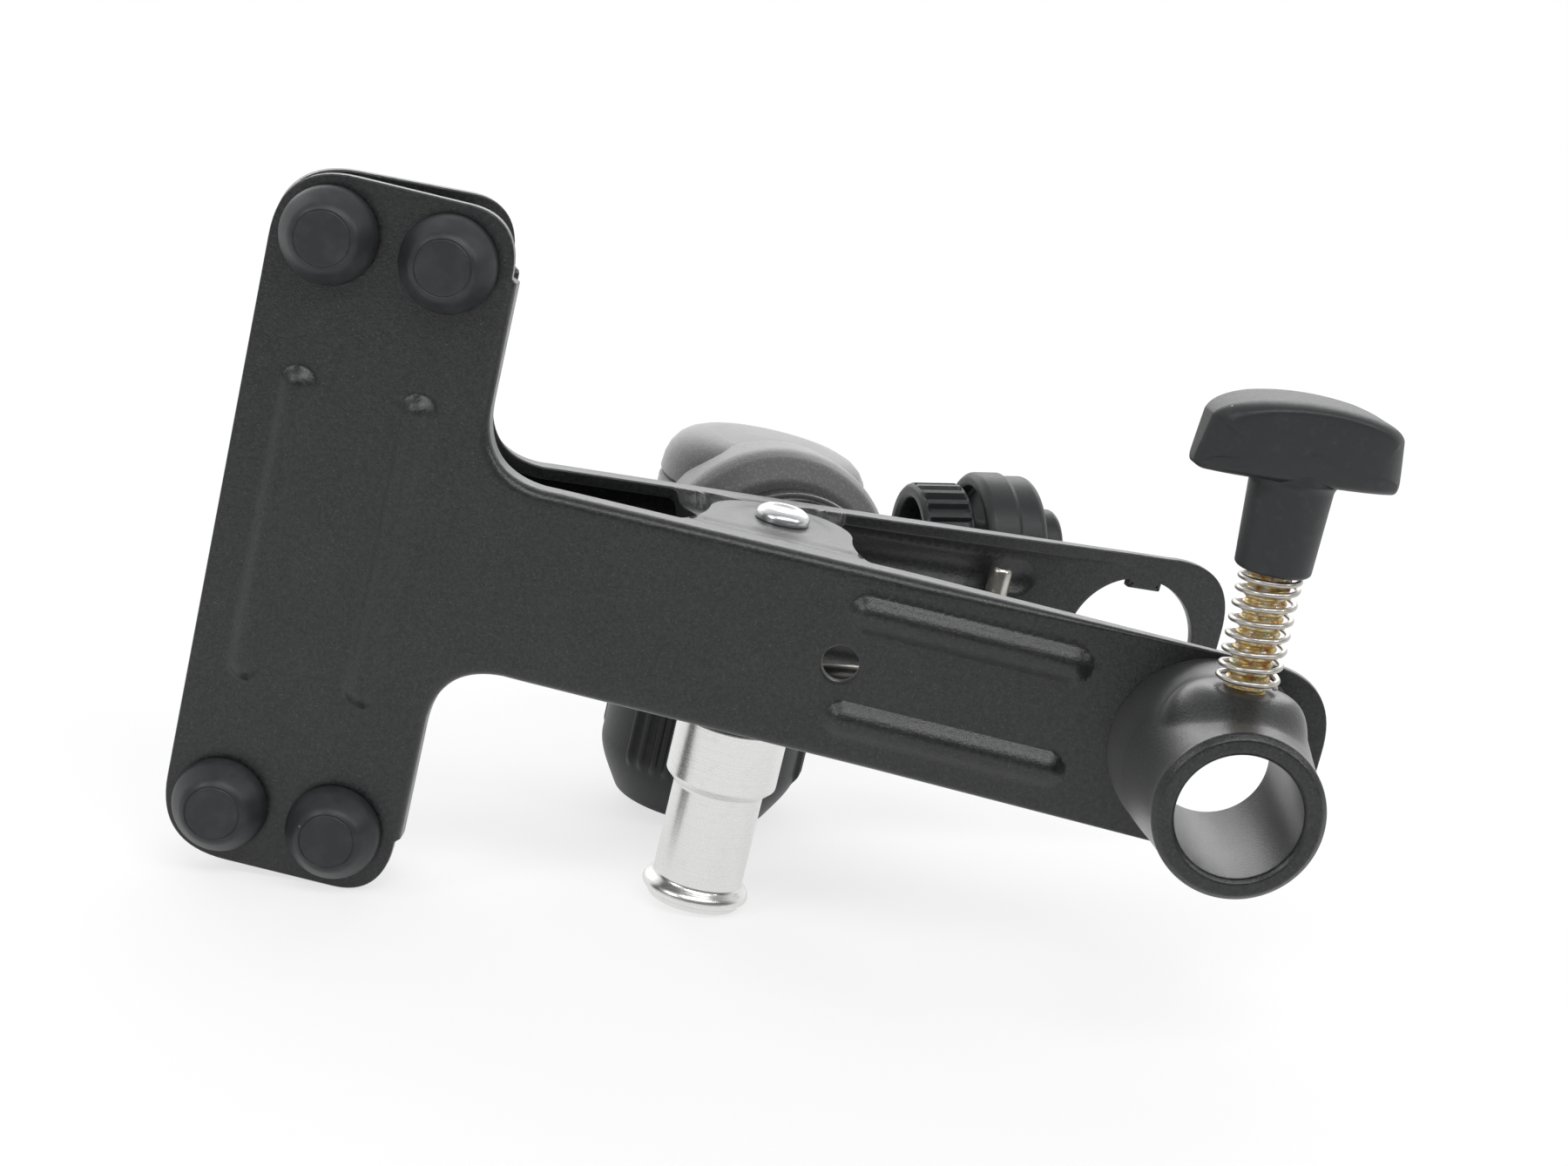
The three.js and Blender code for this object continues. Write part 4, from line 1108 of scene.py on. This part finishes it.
def plate_to_pin(x, y):
    """A point of the front plate's frame in the clamp's frame."""
    y -= PIN_DEPTH
    return x * math.cos(LEAN) + y * math.sin(LEAN), y * math.cos(LEAN) - x * math.sin(LEAN)


def torsion_points():
    """The torsion spring's middle line: a hook, its leg, the coil, a leg and a hook."""
    radius = JAW_COIL / 2
    foot = plate_to_pin(LEG_REACH, SHEET + SEAT + JAW_WIRE / 2)
    first = math.atan2(foot[1], foot[0]) - math.acos(radius / math.hypot(*foot))
    turns = JAW_TURNS + 1 + first / math.pi
    rise = turns * (JAW_WIRE + JAW_WIRE_GAP)
    count = round(turns * JAW_COIL_STEPS)
    coil = []
    for i in range(count + 1):
        turn = first - 2 * math.pi * turns * i / count
        coil.append((*polar(radius, turn), -rise / 2 + rise * i / count))
    start = Vector(coil[0])
    knee = -rise / 2 + LEG_RISE
    half = [Vector((*foot, z)) for z in np.linspace(-HOOK_HEIGHT, knee - HOOK_BEND, 8)]
    level = Vector((*foot, 0))
    towards = Vector((start.x, start.y, 0))
    for turn in np.linspace(0, math.pi / 2, 9)[1:]:
        spot = level.lerp(towards, HOOK_BEND * (1 - math.cos(turn)) / (towards - level).length)
        spot.z = knee - HOOK_BEND * (1 - math.sin(turn))
        half.append(spot)
    half += [half[-1].lerp(start, share) for share in np.linspace(0, 1, 12)[1:-1]]
    return half + coil + [Vector((p.x, -p.y, -p.z)) for p in half[::-1]]


washer_top = -EAR_TOP - SEAT
washer = ring_form(WASHER / 2, washer_top - WASHER_HEIGHT, washer_top)
sleeve_half = EAR_TOP - 2 * SHEET - 2 * SEAT
sleeve = ring_form(SLEEVE / 2, -sleeve_half, sleeve_half)
piece("peened_pin", bolt_form(), CLAMP, ZINC, "front_jaw", "hinge_bolt")
piece("turned_spigot", spigot_form(), CLAMP, ALUMINIUM, "front_jaw", "spigot")
piece("pin_washer", washer, CLAMP, ZINC, "front_jaw", "spigot_washer")
piece("pin_sleeve", sleeve, CLAMP, ZINC, "front_jaw", "hinge_sleeve")

torsion = wire_form(torsion_points(), JAW_WIRE / 2, JAW_WIRE_SIDES)
spring = piece("torsion_coil", torsion, CLAMP, WIRE, "front_jaw", "torsion_spring", weighted=False)
spring.parent = None
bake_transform(spring)


# Socket tube and its locking screw


def socket_form():
    """The socket tube: spread towards the plate, with a flat-topped boss for the screw."""
    root = SEAT + (TUBE / 2 + SPREAD) * math.tan(TUBE_LEAN)
    inner, outer = TUBE_BORE / 2, TUBE / 2
    rim = TUBE_LENGTH - TUBE_EDGE

    def wall(height):
        share = min(1.0, (height - root) / SPREAD_LENGTH)
        return outer + SPREAD * (1 - share) ** SPREAD_CURVE, height

    profile = [(inner, root), wall(root)]
    profile += [wall(height) for height in np.arange(root + TUBE_ROW, rim - TUBE_ROW, TUBE_ROW)]
    profile += [
        (outer, rim, 0.3),
        (outer - TUBE_EDGE, TUBE_LENGTH, 0.3),
        (inner + TUBE_EDGE * 0.7, TUBE_LENGTH, 0.25),
        (inner, TUBE_LENGTH - TUBE_EDGE * 0.7, 0.3),
    ]
    profile += [(inner, height) for height in np.linspace(TUBE_LENGTH - 2, root + 0.5, 9)]
    profile += [(inner, root)]

    def shape(turn, radius, height):
        side = (turn + math.pi / 2) % (2 * math.pi) - math.pi
        if radius < outer - 0.01 or abs(side) > math.pi / 3:
            return radius
        spread = math.hypot(outer * math.sin(side), height - STUD_PLACE)
        rise = 1 - smoothstep(spread, COLLAR / 2 - 0.2, COLLAR / 2 + COLLAR_FLARE)
        flat = (outer + COLLAR_HEIGHT) / math.cos(side)
        return radius + (flat - radius) * rise

    form = lathe(profile, TUBE_SIDES, shape)
    # The foot of the tube follows the plate, which is not square to it.
    seated = []
    for x, y, height in form.points:
        share = 1 - smoothstep(height, root, root + FOOT_BLEND)
        lean = math.cos(SCREW_TILT) * x + math.sin(SCREW_TILT) * y
        seated.append((x, y, height + share * (lean * math.tan(TUBE_LEAN) - root + SEAT / 3)))
    form.points = seated
    return form


def thread_form(radius, low, high):
    rows = []
    count = round((high - low) / THREAD_PITCH * THREAD_ROWS)
    for height in np.linspace(low, high, count + 1):
        row = []
        for turn in full_turn(THREAD_SIDES):
            phase = (height / THREAD_PITCH - turn / (2 * math.pi)) % 1
            groove = THREAD_DEPTH * (1 - smoothstep(abs(phase - 0.5), 0.08, 0.42))
            row.append((*polar(radius - groove, turn), height))
        rows.append(row)
    form = Form()
    form.loft([[(0, 0, low)]] + rows + [[(0, 0, high)]])
    return form


def wing_outline():
    """The winged knob seen from the front: slanted sides and a domed crown."""
    half, low = WING_LENGTH / 2, HUB_TOP
    crown = low + WING_HEIGHT
    foot, tip, heel = (half - WING_CORNER, low), (half, low), (half - 0.2, low + WING_CORNER)
    side, shoulder = (half - 1.1, crown - WING_ROUND / 2), (half - WING_ROUND * 0.55, crown + 0.1)
    top = (half / 2, crown + WING_CROWN / 2)

    def left(point):
        return -point[0], point[1]

    points = line(left(foot), foot, WING_STEP) + curve(foot, tip, heel, 8)
    points += line(heel, side, WING_STEP) + curve(side, shoulder, top, 14)
    points += curve(top, (0, crown + WING_CROWN), left(top), 28)
    points += curve(left(top), left(shoulder), left(side), 14)
    points += line(left(side), left(heel), WING_STEP)
    return points + curve(left(heel), left(tip), left(foot), 8)


def wing_form():
    """The wings: the outline swelled to its thickness, thinner towards the ends."""
    points = wing_outline()
    normals = [-normal for normal in inward(points)]
    half = WING_WIDTH / 2
    centre = Vector((0, HUB_TOP + WING_HEIGHT / 2))

    def spot(point, y):
        reach = min(1, abs(point.x) / (WING_LENGTH / 2))
        thin = math.sqrt(1 - WING_THINNING * reach**WING_BLUNTNESS)
        draft = 1 - WING_DRAFT * (HUB_TOP + WING_HEIGHT - point.y) / WING_HEIGHT
        return (point.x, y * thin * draft, point.y)

    belt = []
    for turn in np.linspace(0, math.pi / 2, 9):
        inset = WING_EDGE * (1 - math.cos(turn))
        face = [p + n * inset * (0.7 + 1.7 * n.x**2) for p, n in zip(points, normals)]
        belt.append((face, half - WING_SIDE + WING_SIDE * math.sin(turn)))
    rows = [[(0, half + WING_BULGE, centre.y)]]
    for share in (0.0, 0.25, 0.5, 0.68, 0.8, 0.87, 0.93):
        scale = 0.02 + share * 0.98
        y = half + WING_BULGE * (1 - scale**2)
        rows.append([spot(centre + (point - centre) * scale, y) for point in belt[-1][0]])
    rows += [[spot(point, y) for point in face] for face, y in belt[::-1]]
    form = Form()
    form.loft(rows + [[(x, -y, z) for x, y, z in row] for row in rows[::-1]])
    return form


def hub_form():
    """The knob's hub, a little wider towards the wings."""
    return lathe([
        (STUD / 2, HUB_DEPTH + 1.5),
        (STUD / 2 + 0.2, HUB_DEPTH + 0.1, 0.1),
        (HUB_LOW / 2 - 0.4, HUB_DEPTH, 0.2),
        (HUB_LOW / 2, HUB_DEPTH + 0.4, 0.2),
        (HUB_HIGH / 2, HUB_TOP - 0.5, 0.5),
        (HUB_HIGH / 2 + 0.5, HUB_TOP + 0.2),
        (HUB_HIGH / 2, HUB_TOP + 2),
        (0, HUB_TOP + 2),
    ], SMALL_SIDES)


def knob_spring_points():
    """The compression spring's middle line, its end turns closed."""
    low = COLLAR_TOP + SEAT + KNOB_WIRE / 2
    high = HUB_DEPTH - SEAT - KNOB_WIRE / 2
    close = KNOB_WIRE + KNOB_WIRE_GAP
    opened = (high - low - 2 * KNOB_END_TURNS * close) / KNOB_TURNS
    points = []
    for i in range((KNOB_TURNS + 2 * KNOB_END_TURNS) * KNOB_COIL_STEPS + 1):
        turn = i / KNOB_COIL_STEPS
        free = min(KNOB_TURNS, max(0, turn - KNOB_END_TURNS))
        height = low + free * opened + (turn - free) * close
        points.append((*polar(KNOB_COIL / 2, 2 * math.pi * turn), height))
    return points


KNOB = spun(SCREW, WING_TURN, "Z")
tube_frame = spun(SOCKET, math.pi / 2, "X")
stud = thread_form(STUD / 2, TUBE_BORE / 2 + STUD_CLEAR, HUB_DEPTH + STUD_IN_HUB)
coil = wire_form(knob_spring_points(), KNOB_WIRE / 2, KNOB_WIRE_SIDES)
piece("welded_tube", socket_form(), tube_frame, COAT, "front_jaw", "socket_tube")
piece("threaded_stud", stud, SCREW, YELLOW, "lock_knob", "lock_stud", weighted=False)
piece("knob_wings", wing_form(), KNOB, PLASTIC, "lock_knob", "lock_knob")
piece("knob_hub", hub_form(), KNOB, PLASTIC, "lock_knob")
small_spring = piece("knob_coil", coil, SCREW, WIRE, "front_jaw", "knob_spring", weighted=False)
travel = joints["lock_travel"]
keep = 1 - travel["range_m"][1] / MM / (HUB_DEPTH - COLLAR_TOP)
SCREW @ Vector((0, 0, COLLAR_TOP))
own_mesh(small_spring)


# Ball head


def base_form():
    """The round base between the plate and the housing."""
    low, high = RIB_HEIGHT + SEAT, SEAT + HEAD_BASE_HEIGHT
    foot, wall = BASE_FOOT / 2, HEAD_BASE / 2
    return lathe([
        (0, SEAT),
        (foot, SEAT, 0.1),
        (foot, low, 0.2),
        (wall - 0.8, low, 0.4),
        (wall, low + 0.8, 0.5),
        (wall, high - 0.8, 0.5),
        (wall - 0.8, high, 0.4),
        (0, high),
    ])


def boss_form():
    """The housing's round boss, chamfered towards the plate."""
    foot = 2 * SEAT + HEAD_BASE_HEIGHT
    root = foot + BOSS_ROOT_HEIGHT
    return lathe([
        (0, foot),
        (BOSS_FACE / 2, foot, 0.5),
        (BOSS_RIM / 2, foot + BOSS_RIM_HEIGHT, 0.7),
        (BOSS_ROUND / 2, foot + BOSS_ROUND_HEIGHT, 1.2),
        (BOSS_ROOT / 2, root, 1.2),
        (BOSS_ROOT / 2 - 6, root + 1.2, 2.0),
        (0, root + 1.2),
    ])


def barrel_form():
    """The upright barrel below the cap."""
    wall = BARREL / 2
    return lathe([
        (0, -BARREL_DROP),
        (wall - 0.6, -BARREL_DROP, 0.3),
        (wall, -BARREL_DROP + 0.6, 0.3),
        (wall, CAP_SPLIT - 0.4, 0.2),
        (wall - 0.4, CAP_SPLIT, 0.2),
        (0, CAP_SPLIT),
    ])


def cap_form():
    """The cap over the ball, with its domed top."""
    wall, foot = BARREL / 2, CAP_SPLIT + SEAT
    return lathe([
        (0, foot),
        (wall - 0.4, foot, 0.2),
        (wall, foot + 0.4, 0.2),
        (wall, CAP_TOP - 0.5, CAP_ROUND * 0.9),
        (wall - CAP_ROUND * 1.35, CAP_TOP + 0.1, 3.0),
        (0, CAP_TOP + 0.4),
    ])


def slot_form():
    """The room that the stem swings in, from beside the arm round the barrel's far side."""
    half = (STEM + STEM_PLAY) / 2 + BALL_PLAY
    climb = BARREL / 2 * math.tan(STEM_TILT)
    spare = math.atan(half / BARREL)
    flat = [polar(BARREL, turn) for turn in np.linspace(-spare, SWING + spare, 40)]
    flat += [polar(half * 0.9, SWING + math.pi / 2), (-half * 0.6, -half * 0.6), (0.0, -half)]
    form = Form()
    low, high = form.loft([[(x, y, z) for x, y in flat] for z in (-half - climb, half)])
    form.faces += [tuple(reversed(low)), tuple(high)]
    return form


def ball_form(radius):
    spots = (polar(radius, turn) for turn in np.linspace(-math.pi / 2, math.pi / 2, 41))
    return lathe([(max(0.0, x), z) for x, z in spots], BALL_SIDES)


def carved(name, first, others, body, node):
    """A painted casting made from solids, each joined to or cut from the first."""
    made = solid(name, *first)
    helpers = []
    for operation, form, base in others:
        helpers.append(solid(name + "_tool", form, base))
        modifier = made.modifiers.new("shape", "BOOLEAN")
        modifier.operation = operation
        modifier.solver = "EXACT"
        modifier.object = helpers[-1]
    bpy.context.view_layer.update()
    seen = made.evaluated_get(bpy.context.evaluated_depsgraph_get())
    shaped = bpy.data.meshes.new_from_object(seen)
    made.modifiers.clear()
    made.data = shaped
    for helper in helpers:
        bpy.data.objects.remove(helper)
    return dressed(made, PAINT, body, [node])


def nose_form():
    return lathe([
        (0, -NECK_DROP),
        (NECK / 2 - 0.5, -NECK_DROP, 0.2),
        (NECK / 2, -NECK_DROP + 0.5, 0.2),
        (NECK / 2, -BARREL_DROP + 2),
        (0, -BARREL_DROP + 2),
    ], SMALL_SIDES)


def grip_knob_form():
    """The ball head's lock knob: three fields of ribs on a body that tapers to its foot."""
    top, low = BARREL_DROP + SEAT, GRIP_KNOB_BOTTOM
    radius, foot = GRIP_KNOB / 2, GRIP_KNOB_FOOT / 2
    rib_top, rib_foot = top + 0.7, top + 0.8 + GRIP_RIB_LENGTH

    def wall(height):
        share = smoothstep(height, low - GRIP_KNOB_TAPER - 1.5, low + 4)
        return radius - (radius - foot) * min(1.0, share * 1.45)

    end = wall(low)
    profile = [(0, top), (NECK / 2 + 0.3, top), (radius - 0.8, top, 0.3), (radius, top + 0.8, 0.3)]
    profile += [(wall(height), height) for height in np.linspace(top + 0.8, low - 0.9, 60)[1:]]
    profile += [(end - 0.2, low - 0.3, 0.2), (end - 0.9, low, 0.3), (end - 2.2, low, 0.3)]
    profile += [(end - 2.6, low - 0.5, 0.2), (0, low - 0.5)]

    def shape(turn, reach, height):
        if reach < radius - 3.5 or not rib_top < height < rib_foot:
            return reach
        field = 2 * math.pi / GRIP_FIELDS
        place = (turn + field / 2) % field - field / 2
        order = place / GRIP_RIB_PITCH + (GRIP_RIBS - 1) / 2
        if not -0.5 < order < GRIP_RIBS - 0.5:
            return reach
        off = abs(order - round(order)) * GRIP_RIB_PITCH * radius
        ridge = 1 - smoothstep(off, GRIP_RIB_WIDTH * 0.18, GRIP_RIB_WIDTH * 0.62)
        ridge *= smoothstep(height, rib_top, top + 1.8)
        ridge *= 1 - smoothstep(height, rib_foot - 2.2, rib_foot)
        return reach + (radius + GRIP_RIB - reach) * ridge

    return lathe(profile, GRIP_SIDES, shape)


def ring_shape(turn, reach, height):
    """The lock ring's flutes, which fade out towards its ends."""
    if reach < RING / 2 - 1.2:
        return reach
    end = RING_START + RING_LENGTH
    rise = smoothstep((1 + math.cos(turn * RING_TEETH)) / 2, 0.25, 0.75)
    ends = smoothstep(height, RING_START + 0.4, RING_START + 1.4)
    ends *= 1 - smoothstep(height, end - 1.2, end - 0.3)
    return reach - RING_TOOTH * (1 - rise) * ends


def lock_ring_form():
    end = RING_START + RING_LENGTH
    bore, hollow, wall = STEM / 2 + STEM_PLAY / 2, RING_HOLLOW / 2, RING / 2
    profile = [
        (bore, end - RING_WEB),
        (hollow, end - RING_WEB, 0.5),
        (hollow, RING_START + 0.5, 0.3),
        (hollow + 0.5, RING_START, 0.25),
        (wall - 0.7, RING_START, 0.3),
        (wall, RING_START + 0.7, 0.3),
    ]
    profile += [(wall, height) for height in np.linspace(RING_START + 1, end - 1, 24)]
    profile += [(wall, end - 0.6, 0.25), (wall - 0.6, end, 0.3)]
    profile += [(bore, end), (bore, end - RING_WEB)]
    return lathe(profile, RING_SIDES, ring_shape)


def platform_form():
    middle, end = CUP_START + CUP_LENGTH / 2, CUP_START + CUP_LENGTH
    bottom = CUP_START + CUP_HOLLOW_DEPTH
    bore, hollow, wall, step = STEM / 2, CUP_HOLLOW / 2, CUP / 2, CUP_STEP / 2
    return lathe([
        (bore, bottom),
        (hollow, bottom, 0.5),
        (hollow, CUP_START + 0.4, 0.2),
        (hollow + 0.4, CUP_START, 0.2),
        (wall - 0.9, CUP_START, 0.4),
        (wall, CUP_START + 0.9, 0.5),
        (wall, middle, 0.3),
        (step, middle + 0.5, 0.2),
        (step, end - 1.0, 0.6),
        (step - 1.0, end, 0.5),
        (bore, end),
        (bore, bottom),
    ], TURNED_SIDES)


def bush_form():
    start, end = CUP_START + CUP_LENGTH, END_BUSH_REACH
    hole, wall = END_THREAD / 2, END_BUSH / 2
    return lathe([
        (hole, start + 0.5),
        (hole, end - 0.3, 0.1),
        (hole + 0.4, end, 0.15),
        (wall - 0.7, end, 0.3),
        (wall, end - 0.7, 0.4),
        (wall, start, 0.1),
        (hole, start),
        (hole, start + 0.5),
    ], SMALL_SIDES)


def stem_form():
    end = CUP_START + CUP_LENGTH - 1.2
    full, waist = STEM / 2, STEM / 2 - 0.6
    profile = [(0, 2.0), (full, 2.0), (full, 7.6, 0.3), (waist, 8.6, 0.3), (waist, 11, 0.3)]
    return lathe(profile + [(full, 12, 0.3), (full, end), (0, end)], PIN_SIDES)


ball_place = moved(HEAD, z=BALL_HEIGHT)
pocket_cut = ("DIFFERENCE", ball_form(BALL / 2 + BALL_PLAY), ball_place)
body_parts = [
    ("UNION", barrel_form(), BARREL_FRAME),
    ("UNION", nose_form(), BARREL_FRAME),
    pocket_cut,
    ("DIFFERENCE", slot_form(), LOCK),
]
carved("head_housing", (boss_form(), HEAD), body_parts, "rear_jaw", "head_body")
carved("head_crown", (cap_form(), BARREL_FRAME), [pocket_cut], "rear_jaw", "head_cap")
piece("head_seat", base_form(), HEAD, GLOSS, "rear_jaw", "head_base")
piece("ribbed_knob", grip_knob_form(), LOCK, PLASTIC, "head_knob", "head_knob")
piece("steel_ball", ball_form(BALL / 2), STEM_FRAME, ZINC, "head_ball", "head_ball")
piece("ball_stem", stem_form(), STEM_FRAME, ZINC, "platform", "head_stem")
piece("fluted_ring", lock_ring_form(), STEM_FRAME, PLASTIC, "lock_ring", "lock_ring")
piece("round_platform", platform_form(), STEM_FRAME, PLASTIC, "platform", "platform")
piece("platform_bush", bush_form(), STEM_FRAME, PLASTIC, "platform", "end_bush")

# Small inner nodes keep their shape and take a finish.
inner = {"lock_tip": BRASS, "head_pad": BRASS, "head_screw": ZINC[0], "head_knob_stud": ZINC[0]}
for node, finish in inner.items():
    mesh = frame["nodes"][node].data
    mesh.materials.clear()
    mesh.materials.append(finish)


# Floor, light and camera

FLOOR_HALF = 1.0
FLOOR_GLOW = 0.7
ROOM_LIGHT = 0.16
BACKDROP_LIGHT = 1.0


def floor_material():
    """White paper that keeps the object's shadow and otherwise reads as white."""
    finish = Finish("white_paper", {"Roughness": 0.9, "Specular IOR Level": 0.2})
    fibre = finish.noise(60, 3)
    finish.set("Base Color", finish.mixed(fibre, grey(0.84), grey(0.88)))
    glow = finish.node("ShaderNodeEmission", {}, {"Color": grey(1.0), "Strength": 1.0})
    plain = Value(finish, finish.shader.outputs[0])
    kinds = ("Is Camera Ray", "Is Glossy Ray", "Is Transmission Ray")
    seen, mirrored, through = (finish.node("ShaderNodeLightPath", output=kind) for kind in kinds)
    inputs = {0: seen + mirrored + through, 1: 1.0}
    share = finish.node("ShaderNodeMath", {"operation": "MINIMUM"}, inputs) * FLOOR_GLOW
    mixed = finish.node("ShaderNodeMixShader", {}, {0: share, 1: plain, 2: glow})
    finish.tree.links.new(mixed.socket, finish.output.inputs[0])
    return finish.material


def floor():
    corners = [(x * FLOOR_HALF, y * FLOOR_HALF, 0) for x, y in ((-1, -1), (1, -1), (1, 1), (-1, 1))]
    mesh = bpy.data.meshes.new("floor")
    mesh.from_pydata(corners, [], [(0, 1, 2, 3)])
    mesh.materials.append(floor_material())
    placed("floor", mesh)


def lamp(name, place, target, size, energy):
    light = bpy.data.lights.new(name, "AREA")
    light.shape = "RECTANGLE"
    light.size, light.size_y = size
    light.energy = energy
    made = placed(name, light)
    made.location = place
    made.rotation_euler = (Vector(target) - Vector(place)).to_track_quat("-Z", "Y").to_euler()


def world():
    """A white backdrop behind the clamp and a dimmer room on the camera's side."""
    made = bpy.data.worlds.new("studio")
    bpy.context.scene.world = made
    made.use_nodes = True
    shading = Shading(made.node_tree)
    way = shading.node("ShaderNodeTexCoord", output="Generated")
    back = shading.node("ShaderNodeSeparateXYZ", {}, {0: way}, "Y")
    settings = {"interpolation_type": "SMOOTHSTEP"}
    behind = shading.node("ShaderNodeMapRange", settings, {0: back, 1: -0.25, 2: 0.35})
    room = ROOM_LIGHT + behind * (BACKDROP_LIGHT - ROOM_LIGHT)
    seen = shading.node("ShaderNodeLightPath", output="Is Camera Ray")
    strength = room + seen * (1 - room)
    sky = shading.node("ShaderNodeBackground", {}, {"Color": grey(1.0), "Strength": strength})
    output = shading.tree.nodes.new("ShaderNodeOutputWorld")
    shading.tree.links.new(sky.socket, output.inputs[0])


def camera():
    data = bpy.data.cameras.new("camera")
    data.lens = CAMERA_LENS
    data.sensor_width = SENSOR_WIDTH
    data.sensor_fit = "HORIZONTAL"
    data.clip_start = 0.01
    turn = FRONT.to_3x3() * (1 / MM)
    forward = (turn @ Vector(CAMERA_FORWARD)).normalized()
    down = turn @ Vector(CAMERA_DOWN)
    right = down.cross(forward).normalized()
    above = right.cross(forward)
    axes = Matrix((right, above, -forward)).transposed().to_4x4()
    made = placed("camera", data)
    made.matrix_world = Matrix.Translation(FRONT @ Vector(CAMERA_PLACE)) @ axes
    bpy.context.scene.camera = made


floor()
world()
camera()
lamp("behind", (0.0, 1.0, 0.58), (0, 0, 0.03), (1.8, 0.5), 7.5)
lamp("left", (-0.75, -0.5, 0.6), (0, 0, 0.04), (0.24, 0.3), 2.4)
lamp("middle", (0.1, -0.6, 0.85), (0, 0, 0.04), (0.9, 0.3), 5.5)
lamp("right", (0.8, -0.45, 0.6), (0, 0, 0.04), (0.24, 0.3), 2.0)
bpy.context.scene.view_settings.view_transform = "Standard"
